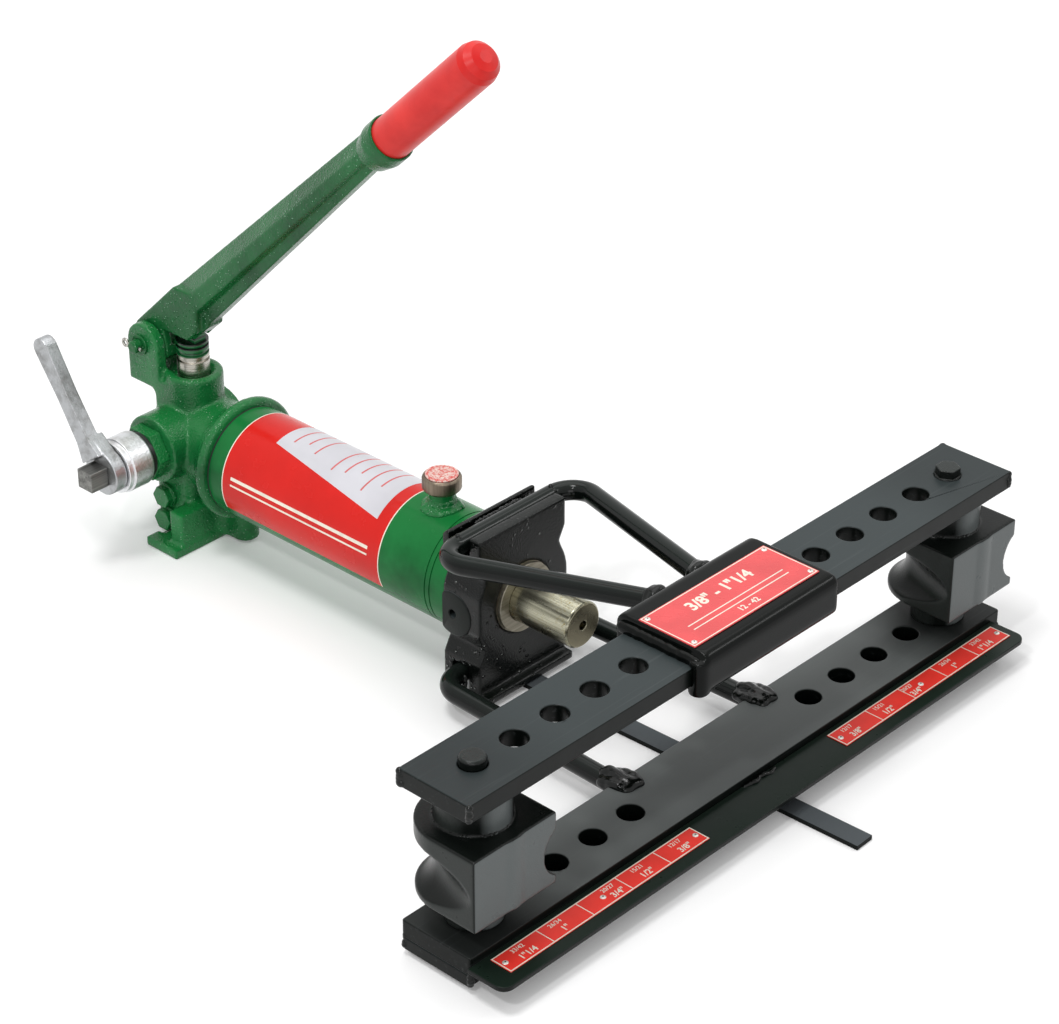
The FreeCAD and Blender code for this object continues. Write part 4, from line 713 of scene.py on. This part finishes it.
for end in (-296.3, 296.3):
    rod_runs += [
        (4.2, [(-31.2, end, 142.5), (-31.6, end, 151.0)]),
        (3.4, [(31.0, end, 141.6), (31.4, end, 151.2)]),
        (3.3, [(30.8, end, 6.5), (30.6, end, 15)]),
        (3.0, [(-30.4, end, 7), (-30.4, end, 16)]),
    ]
lump_runs += [
    (2.9, [(33.5, -15, 23.2), (36, -6, 22.8), (34.5, 4, 23.2), (37, 11, 22.6), (35, 17, 22.8)]),
    (4.0, [(33, -72, 152), (35, -74, 146), (38, -70, 143)]),
    (3.4, [(27, -72, 150), (27, -74, 143)]),
]
plate_runs = [(1.8, [(-31.6, start, 13.4), (-31.6, start + 42, 13.4)])
              for start in (-280, -150, -21, 110, 238)]
sleeve_runs = [(size, [(-36, y, level), (34, y, level)])
               for size, y, level in ((5.2, -71.5, 156.6), (4.6, 75.5, 156.4))]
seams("frame_welds", rod_runs, "frame", black_weld)
seams("frame_lumps", lump_runs, "frame", black_weld, pitch=2.6, wander=0.7, uneven=0.16,
      cell=0.7, relax=18, seed=3)
seams("plate_welds", plate_runs, "frame", black_weld, seed=4)
seams("sleeve_beads", sleeve_runs, "frame", black_sleeve, pitch=3.0, wander=0.4, uneven=0.12,
      cell=0.8, relax=10, seed=5)
neck_runs = []
for size, reach, rise in ((4.6, 10.5, 0.6), (3.6, 14.0, 0.0), (3.4, 8.6, 5.6)):
    run = [(x, y, TANK_LEVEL + rise + math.sqrt(TANK_RADIUS ** 2 - y ** 2))
           for x, y, _ in ring((FILLER, 0, 0), reach, "Z", steps=32)]
    neck_runs.append((size, run))
seams("neck_weld", neck_runs, "frame", green_cast, pitch=1.8, wander=0.6, cell=0.7, relax=7, seed=7)
for side, body in ((-1, "block_left"), (1, "block_right")):
    seams(f"{body}_bead", [(1.6, ring((0, side * 260.5, 113.3), 27.2, "Z"))], body, black_block,
          pitch=2.4, wander=0.5, seed=9)

# %% [markdown]
# The plates are held by small rivets with a domed head and a pit in the middle, where the mandrel
# broke off; the pit is a low dark dome, its colour a painted shade of that hollow. One dome and one
# pit are made in the tree and copied to every point of a handful of points, which is far easier to
# change than ten separate rivets.

# %% Rivets
rivet = Recipe("rivet", Head_Radius="Float", Head_Height="Float", Pit_Radius="Float", Head="Material",
               Pit="Material")
dome = rivet.step("GeometryNodeMeshUVSphere",
                  {"Segments": 20, "Rings": 12, "Radius": rivet.given("Head_Radius")})
low = rivet.maths("DIVIDE", rivet.given("Head_Height"), rivet.given("Head_Radius"))
squash = rivet.step("ShaderNodeCombineXYZ", {"X": 1.0, "Y": 1.0, "Z": low})
dome = rivet.step("GeometryNodeTransform", {"Geometry": dome, "Scale": squash})
dome = rivet.step("GeometryNodeSetMaterial", {"Geometry": dome, "Material": rivet.given("Head")})
pit = rivet.step("GeometryNodeMeshUVSphere",
                 {"Segments": 14, "Rings": 8, "Radius": rivet.given("Pit_Radius")})
pit_height = rivet.maths("MULTIPLY", rivet.given("Head_Height"), 0.93)
pit_place = rivet.step("ShaderNodeCombineXYZ", {"X": 0.0, "Y": 0.0, "Z": pit_height})
pit = rivet.step("GeometryNodeTransform", {"Geometry": pit, "Translation": pit_place, "Scale": (1, 1, 0.25)})
pit = rivet.step("GeometryNodeSetMaterial", {"Geometry": pit, "Material": rivet.given("Pit")})
both = rivet.tree.nodes.new("GeometryNodeJoinGeometry")
for half in (dome, pit):
    rivet.tree.links.new(half, both.inputs[0])
smooth = rivet.step("GeometryNodeSetShadeSmooth", {"Geometry": both.outputs[0]})
copies = rivet.step("GeometryNodeInstanceOnPoints", {"Points": rivet.entry["Geometry"], "Instance": smooth})
rivet.close(copies)
SCALE_TOP, SLEEVE_TOP = 23.8, 166
PLATE_MIDDLES = {"scale_plate_left": -182, "scale_plate_right": 178}


def rivets(name, places, node, radius, height):
    """A rivet at each place, standing for the drawn rivets."""
    mesh = bpy.data.meshes.new(name)
    mesh.from_pydata([at(*place) for place in places], [], [])
    piece = grown(rivet, linked(name, mesh), name, body_of[node], Head_Radius=radius / 1000,
                  Head_Height=height / 1000, Pit_Radius=radius * 0.3 / 1000, Head=rivet_metal, Pit=rivet_pit)
    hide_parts(node)


rivets("scale_plate_rivets",
       [(47, middle + move, SCALE_TOP) for middle in PLATE_MIDDLES.values() for move in (-97.5, 0, 97.5)],
       "scale_rivets", 2.3, 0.95)
rivets("sleeve_plate_rivets", [(x, y, SLEEVE_TOP) for x in (-19.5, 23.5) for y in (-64, 64)],
       "sleeve_rivets", 2.3, 0.95)

# %% [markdown]
# The two plates on the ledge tell the user which pair of holes takes the support blocks for which
# pipe. They carry a cream border, a divider halfway between every two holes, and in each field the
# bore of the pipe in millimetres with its size in inches. The letters are text curves, made a mesh
# before they are put in place, so they are as sharp as real print.

# %% Print on the scale plates
INK_DEPTH = 0.06


def strip(work, low, high, level):
    """A thin bar of ink between two corners on a level, in millimetres from the line of holes."""
    low, high = at(*low, level), at(*high, level + INK_DEPTH)
    for vert in bmesh.ops.create_cube(work, size=1)["verts"]:
        vert.co = Vector([low[i] + (vert.co[i] + 0.5) * (high[i] - low[i]) for i in range(3)])


def frame_of_ink(work, low, high, level, width=0.9):
    """Four thin bars along the edges of a plate."""
    (x0, y0), (x1, y1) = low, high
    strip(work, (x0, y0), (x0 + width, y1), level)
    strip(work, (x1 - width, y0), (x1, y1), level)
    strip(work, (x0 + width, y0), (x1 - width, y0 + width), level)
    strip(work, (x0 + width, y1 - width), (x1 - width, y1), level)


def words(work, text, size, middle, level, heavy):
    """Letters that read along +Y with their tops towards the ram, centred on a place."""
    curve = bpy.data.curves.new("words", "FONT")
    curve.body, curve.size, curve.offset = text, size / 1000, heavy / 1000
    curve.align_x, curve.align_y = "CENTER", "CENTER"
    curve.extrude = INK_DEPTH / 2000
    curve.resolution_u = 3
    holder = linked("words", curve)
    letters = plain_mesh(holder)
    place = Matrix.Translation(at(*middle, level + INK_DEPTH / 2))
    letters.transform(place @ Matrix.Rotation(math.pi / 2, 4, "Z"))
    work.from_mesh(letters)
    bpy.data.objects.remove(holder)
    bpy.data.meshes.remove(letters)


def built(work, name, material, body, sharp=None, stands_for=()):
    """Close a mesh, shade it smooth but for its sharp edges, and hand it to its body."""
    if sharp:
        bmesh.ops.recalc_face_normals(work, faces=work.faces)
    mesh = bpy.data.meshes.new(name)
    work.to_mesh(mesh)
    work.free()
    if sharp:
        mesh.shade_smooth()
        mesh.set_sharp_from_angle(angle=math.radians(sharp))
    return settle(linked(name, mesh), name, material, body, stands_for)


FIELDS = {"scale_plate_left": (81, 41, 10.5, -43, -80), "scale_plate_right": (-84, -45, -10.5, 37.5, 76.5)}
PIPES = [("12/17", '3/8"'), ("15/21", '1/2"'), ("20/27", '3/4"'), ("26/34", '1"'), ("33/42", '1"1/4')]
for node, middle in PLATE_MIDDLES.items():
    ink = bmesh.new()
    frame_of_ink(ink, (37.7, middle - 101.8), (56.3, middle + 101.8), SCALE_TOP)
    for index, (bore, inch) in enumerate(PIPES):
        field = middle + FIELDS[node][index]
        words(ink, bore, 5.2, (42.4, field - 1), SCALE_TOP, 0.07)
        words(ink, inch, 7.6, (50.8, field + 1), SCALE_TOP, 0.14)
        if index:
            divider = math.copysign(80.5 + 40 * index, middle)
            strip(ink, (38.6, divider - 0.4), (55.4, divider + 0.4), SCALE_TOP)
    print(built(ink, f"{node}_print", cream_ink, "frame").name, "printed")

# %% [markdown]
# The plate on the sleeve is the bender's own plate. It gets a white line round its edge, the range of
# pipes the bender takes, and two plain lines below it. That is what any tool of this kind could carry.

# %% Print on the sleeve plate
ink = bmesh.new()
frame_of_ink(ink, (-23.2, -67.7), (27.2, 67.7), SLEEVE_TOP)
words(ink, '3/8" - 1"1/4', 14.5, (-7.5, 0), SLEEVE_TOP, 0.45)
for x in (7.0, 12.5):
    strip(ink, (x, -52), (x + 1.0, 52), SLEEVE_TOP)
words(ink, "12 - 42", 7.5, (19.5, 0), SLEEVE_TOP, 0.2)
print(built(ink, "sleeve_plate_print", cream_ink, "frame").name, "printed")

# %% [markdown]
# The tank wears a wrapped label of thin sheet: red, with a pale field on its upper half, a few rose
# hairlines across that field, two cream stripes along the lower half and a fine cream edge. Each
# patch is a strip of the tank's own round, between two angles that may change along its length.

# %% The label on the tank
def wrapped(name, stations, material, lift, thick=0.08):
    """A patch on the tank: at each place along it, in millimetres, the two angles it lies between."""
    steps = 40
    work = bmesh.new()
    sheets = []
    for radius in (TANK_RADIUS + lift + thick, TANK_RADIUS + lift):
        sheet = []
        for x, low, high in stations:
            row = []
            for step in range(steps + 1):
                turn = math.radians(low + (high - low) * step / steps)
                spot = at(x, radius * math.cos(turn), TANK_LEVEL + radius * math.sin(turn))
                row.append(work.verts.new(spot))
            sheet.append(row)
        sheets.append(sheet)
        for first, second in zip(sheet, sheet[1:]):
            for step in range(steps):
                work.faces.new((first[step], second[step], second[step + 1], first[step + 1]))
    last = len(stations) - 1
    rim = [(k, 0) for k in range(last)] + [(last, k) for k in range(steps)]
    rim += [(last - k, steps) for k in range(last)] + [(0, steps - k) for k in range(steps)]
    outer, inner = sheets
    for (i, j), (k, m) in zip(rim, rim[1:] + rim[:1]):
        work.faces.new((outer[i][j], inner[i][j], inner[k][m], outer[k][m]))
    built(work, name, material, "frame", sharp=40)


def even(start, end, low, high, steps=2):
    """Stations of a patch whose angles change evenly along it: each angle is a pair, start and end."""
    return [(start + (end - start) * k / steps, low[0] + (low[1] - low[0]) * k / steps,
             high[0] + (high[1] - high[0]) * k / steps) for k in range(steps + 1)]


wrapped("tank_label", even(-488, -309, (40, 40), (206, 206)), label_red, 0.0)
wrapped("tank_label_field", even(-452, -322, (44, 44), (112, 136), 8), label_pale, 0.08)
wrapped("tank_label_edge_rear", even(-488, -487, (40, 40), (206, 206)), cream_ink, 0.08, 0.03)
wrapped("tank_label_edge_front", even(-310, -309, (40, 40), (206, 206)), cream_ink, 0.08, 0.03)
for index, (low, high) in enumerate(((164, 167.5), (172, 174))):
    wrapped(f"tank_label_stripe_{index}", even(-478, -322, (low, low), (high, high)), cream_ink, 0.08, 0.03)
for index, reach in {0: 102, 1: 96, 2: 104, 4: 112, 5: 108, 6: 100, 7: 118, 8: 104}.items():
    place = -440 + index * 12.5
    line = even(place, place + 1.6, (58, 58), (reach, reach))
    wrapped(f"tank_label_line_{index}", line, rose_ink, 0.16, 0.03)
print("label wrapped")

# %% [markdown]
# Some small turned pieces are easiest to spin from half an outline. The filler cap is one: it has a
# milled rim with a hint of a hexagon, a chamfer and a shallow seat for its printed disc. The same
# helper makes the pad round the head's set screw, which is round but for a straight edge at the back.

# %% Turned pieces
def lathe(name, centre, axis, outline, material, body, shape, stands_for=()):
    """Spin an outline of (radius, distance along the axis) points, in millimetres, round an axis."""
    turns = 72
    along = Vector(axis)
    across = along.orthogonal().normalized()
    other = along.cross(across)
    work = bmesh.new()
    rings = []
    for radius, height in outline:
        middle = at(*centre) + along * height / 1000
        if radius == 0:
            rings.append([work.verts.new(middle)])
            continue
        row = []
        for step in range(turns):
            turn = math.tau * step / turns
            way = across * math.cos(turn) + other * math.sin(turn)
            row.append(work.verts.new(middle + way * shape(turn, radius) / 1000))
        rings.append(row)
    next_rings = rings[1:] if outline[0][0] == 0 else rings[1:] + rings[:1]
    for low, high in zip(rings, next_rings):
        for step in range(turns):
            a, b = low[step % len(low)], low[(step + 1) % len(low)]
            c, d = high[(step + 1) % len(high)], high[step % len(high)]
            corners = list(dict.fromkeys((a, b, c, d)))
            if len(corners) > 2:
                work.faces.new(corners)
    built(work, name, material, body, 32, stands_for)


def slightly_six_sided(turn, radius):
    """A round that is a little smaller six times on its way."""
    return radius * (1 - 0.012 * (1 - math.cos(6 * turn)))


def flat_at_the_back(turn, radius):
    """A round that stops at a straight edge on the tank's side, 45 degrees before its start."""
    return min(radius, 10.3 / max(1e-6, math.cos(turn + math.pi / 4)))


lathe("cap_turned", (FILLER, 0, 0), (0, 0, 1),
      [(0, 126), (8.6, 126), (8.6, 139), (13.6, 139.1), (15.1, 140.4), (15.5, 141.4), (15.5, 149.8),
       (15.0, 151.2), (14.0, 152), (13.4, 151.9), (13.0, 151.4), (0, 151.4)],
      cap_metal, "filler", slightly_six_sided, ["filler_cap"])
lathe("head_pad", (-227, 0, 73), (0, -1, 0),
      [(3.4, 42), (3.4, 48.0), (4.2, 48.6), (17.4, 48.6), (18.6, 48.0), (19.2, 46.8), (19.6, 42)],
      black_pad, "frame", flat_at_the_back)


def disc_print():
    """Red and pale print worn into each other, with a ring round it."""
    made = Finish("disc_print", srgb(214, 96, 88), 0.4)
    cap = at(FILLER, 0, 0)
    reach = made.step("ShaderNodeVectorMath", {"Vector": made.mapped((1, 1, 0), (-cap.x, -cap.y, 0))},
                      "Value", operation="LENGTH")
    cloudy = made.noise(520, 4, 0.65, bend=0.6)
    worn = made.ramp(cloudy, (0.42, srgb(202, 74, 66)), (0.56, srgb(222, 198, 188)))
    rim = made.ramp(made.spread(reach, 0, 1, 0.0, 0.013), (0.78, 0.0), (0.84, 1.0), (0.9, 0.0))
    made.feed("Base Color", made.blend(rim, worn, srgb(206, 70, 62)))
    made.feed("Roughness", made.spread(made.noise(200, 3), 0.3, 0.5))
    made.bump(made.noise(520, 3), 0.3, 0.0001)
    return made.material


print("cap and pad turned")

# %% [markdown]
# Pieces whose drawn shape is already right only need a finish. They stay where they are, and their
# material slot is filled.

# %% Finishes on the drawn pieces
dressed = 0
for material, kept in (
        (black_rod, "upper_tie_rod lower_tie_rod"), (green_tube, "reservoir_tube filler_neck"),
        (gland_steel, "ram_cylinder"), (dark_steel, "head_grub_screw"), (plunger_metal, "plunger"),
        (turned_steel, "ram_piston suction_ball delivery_ball plunger_link_pin split_pin"),
        (spring_steel, "ram_return_spring suction_spring delivery_spring"),
        (seal_rubber, "piston_seal ram_wiper reservoir_gasket_front reservoir_gasket_rear cap_gasket"),
        (seal_rubber, "plunger_seal valve_seal"), (grip_rubber, "lever_grip"),
        (dark_plastic, "valve_ring"), (disc_print(), "cap_disc")):
    for node in kept.split():
        nodes[node].data.materials.clear()
        nodes[node].data.materials.append(material)
        dressed += 1
print("finished drawn pieces", dressed)

# %% [markdown]
# The studio is plain: a pale floor, a wide soft lamp and a smaller key lamp overhead, a long one from
# the right that lays streaks on the bars, a low fill from the camera's side, and a small lamp near
# the camera that gives the glossy castings their sharp sparks. World and floor look white to the
# camera and in reflections, the floor more so farther out, but they light the bender gently, so the
# lamps can model its shapes and the floor keeps a shadow.

# %% Floor, world and lamps
def stage_floor(half=12.0, level=-0.0002):
    """A wide pale square just below the bender, which glows where the camera sees it."""
    mesh = bpy.data.meshes.new("floor")
    corners = ((-half, -half), (half, -half), (half, half), (-half, half))
    mesh.from_pydata([(x, y, level) for x, y in corners], [], [(0, 1, 2, 3)])
    floor = linked("floor", mesh)
    pale = Finish("pale_floor", (0.9, 0.9, 0.9), 0.9, Specular_IOR_Level=0.0)
    away = pale.step("ShaderNodeVectorMath", {"Vector": pale.where}, "Value", operation="LENGTH")
    glow = pale.maths("MULTIPLY", pale.seen(), pale.spread(away, 0.12, 0.62, 0.9, 2.6))
    lit = pale.step("ShaderNodeEmission", {"Strength": glow})
    both = pale.step("ShaderNodeAddShader", {"Shader": pale.shader.outputs["BSDF"], "Shader_001": lit})
    pale.tree.links.new(both, pale.tree.nodes["Material Output"].inputs["Surface"])
    mesh.materials.append(pale.material)


def studio_world(level):
    """A world that is white where it is seen, and lights the bender with less."""
    world = bpy.data.worlds.new("studio")
    world.use_nodes = True
    bpy.context.scene.world = world
    steps = Steps(world.node_tree)
    background = steps.tree.nodes["Background"].inputs
    background["Color"].default_value = (1, 1, 1, 1)
    steps.tree.links.new(steps.spread(steps.seen(), level, 1), background["Strength"])


def soft_lamp(name, away, size, power):
    """A lamp at some metres from the middle of the bender, turned to it."""
    data = bpy.data.lights.new(name, "AREA")
    data.shape = "RECTANGLE"
    data.size, data.size_y = size
    data.energy = power
    lamp = linked(name, data)
    lamp.location = at(-260, 0, 100) + Vector(away)
    lamp.rotation_euler = (-Vector(away)).to_track_quat("-Z", "Y").to_euler()


stage_floor()
studio_world(0.5)
soft_lamp("overhead", (-0.6, 0.5, 2.4), (2.4, 2.0), 20)
soft_lamp("key", (-0.1, -0.7, 2.5), (0.6, 0.6), 21)
soft_lamp("streak", (1.1, 1.7, 1.8), (1.2, 0.25), 7)
soft_lamp("fill", (1.9, -2.2, 1.0), (1.6, 1.2), 12)
soft_lamp("spark", (0.6, -1.7, 2.0), (0.16, 0.16), 12)
bpy.context.scene.view_settings.view_transform = "Standard"
print("lamps", len(bpy.data.lights))
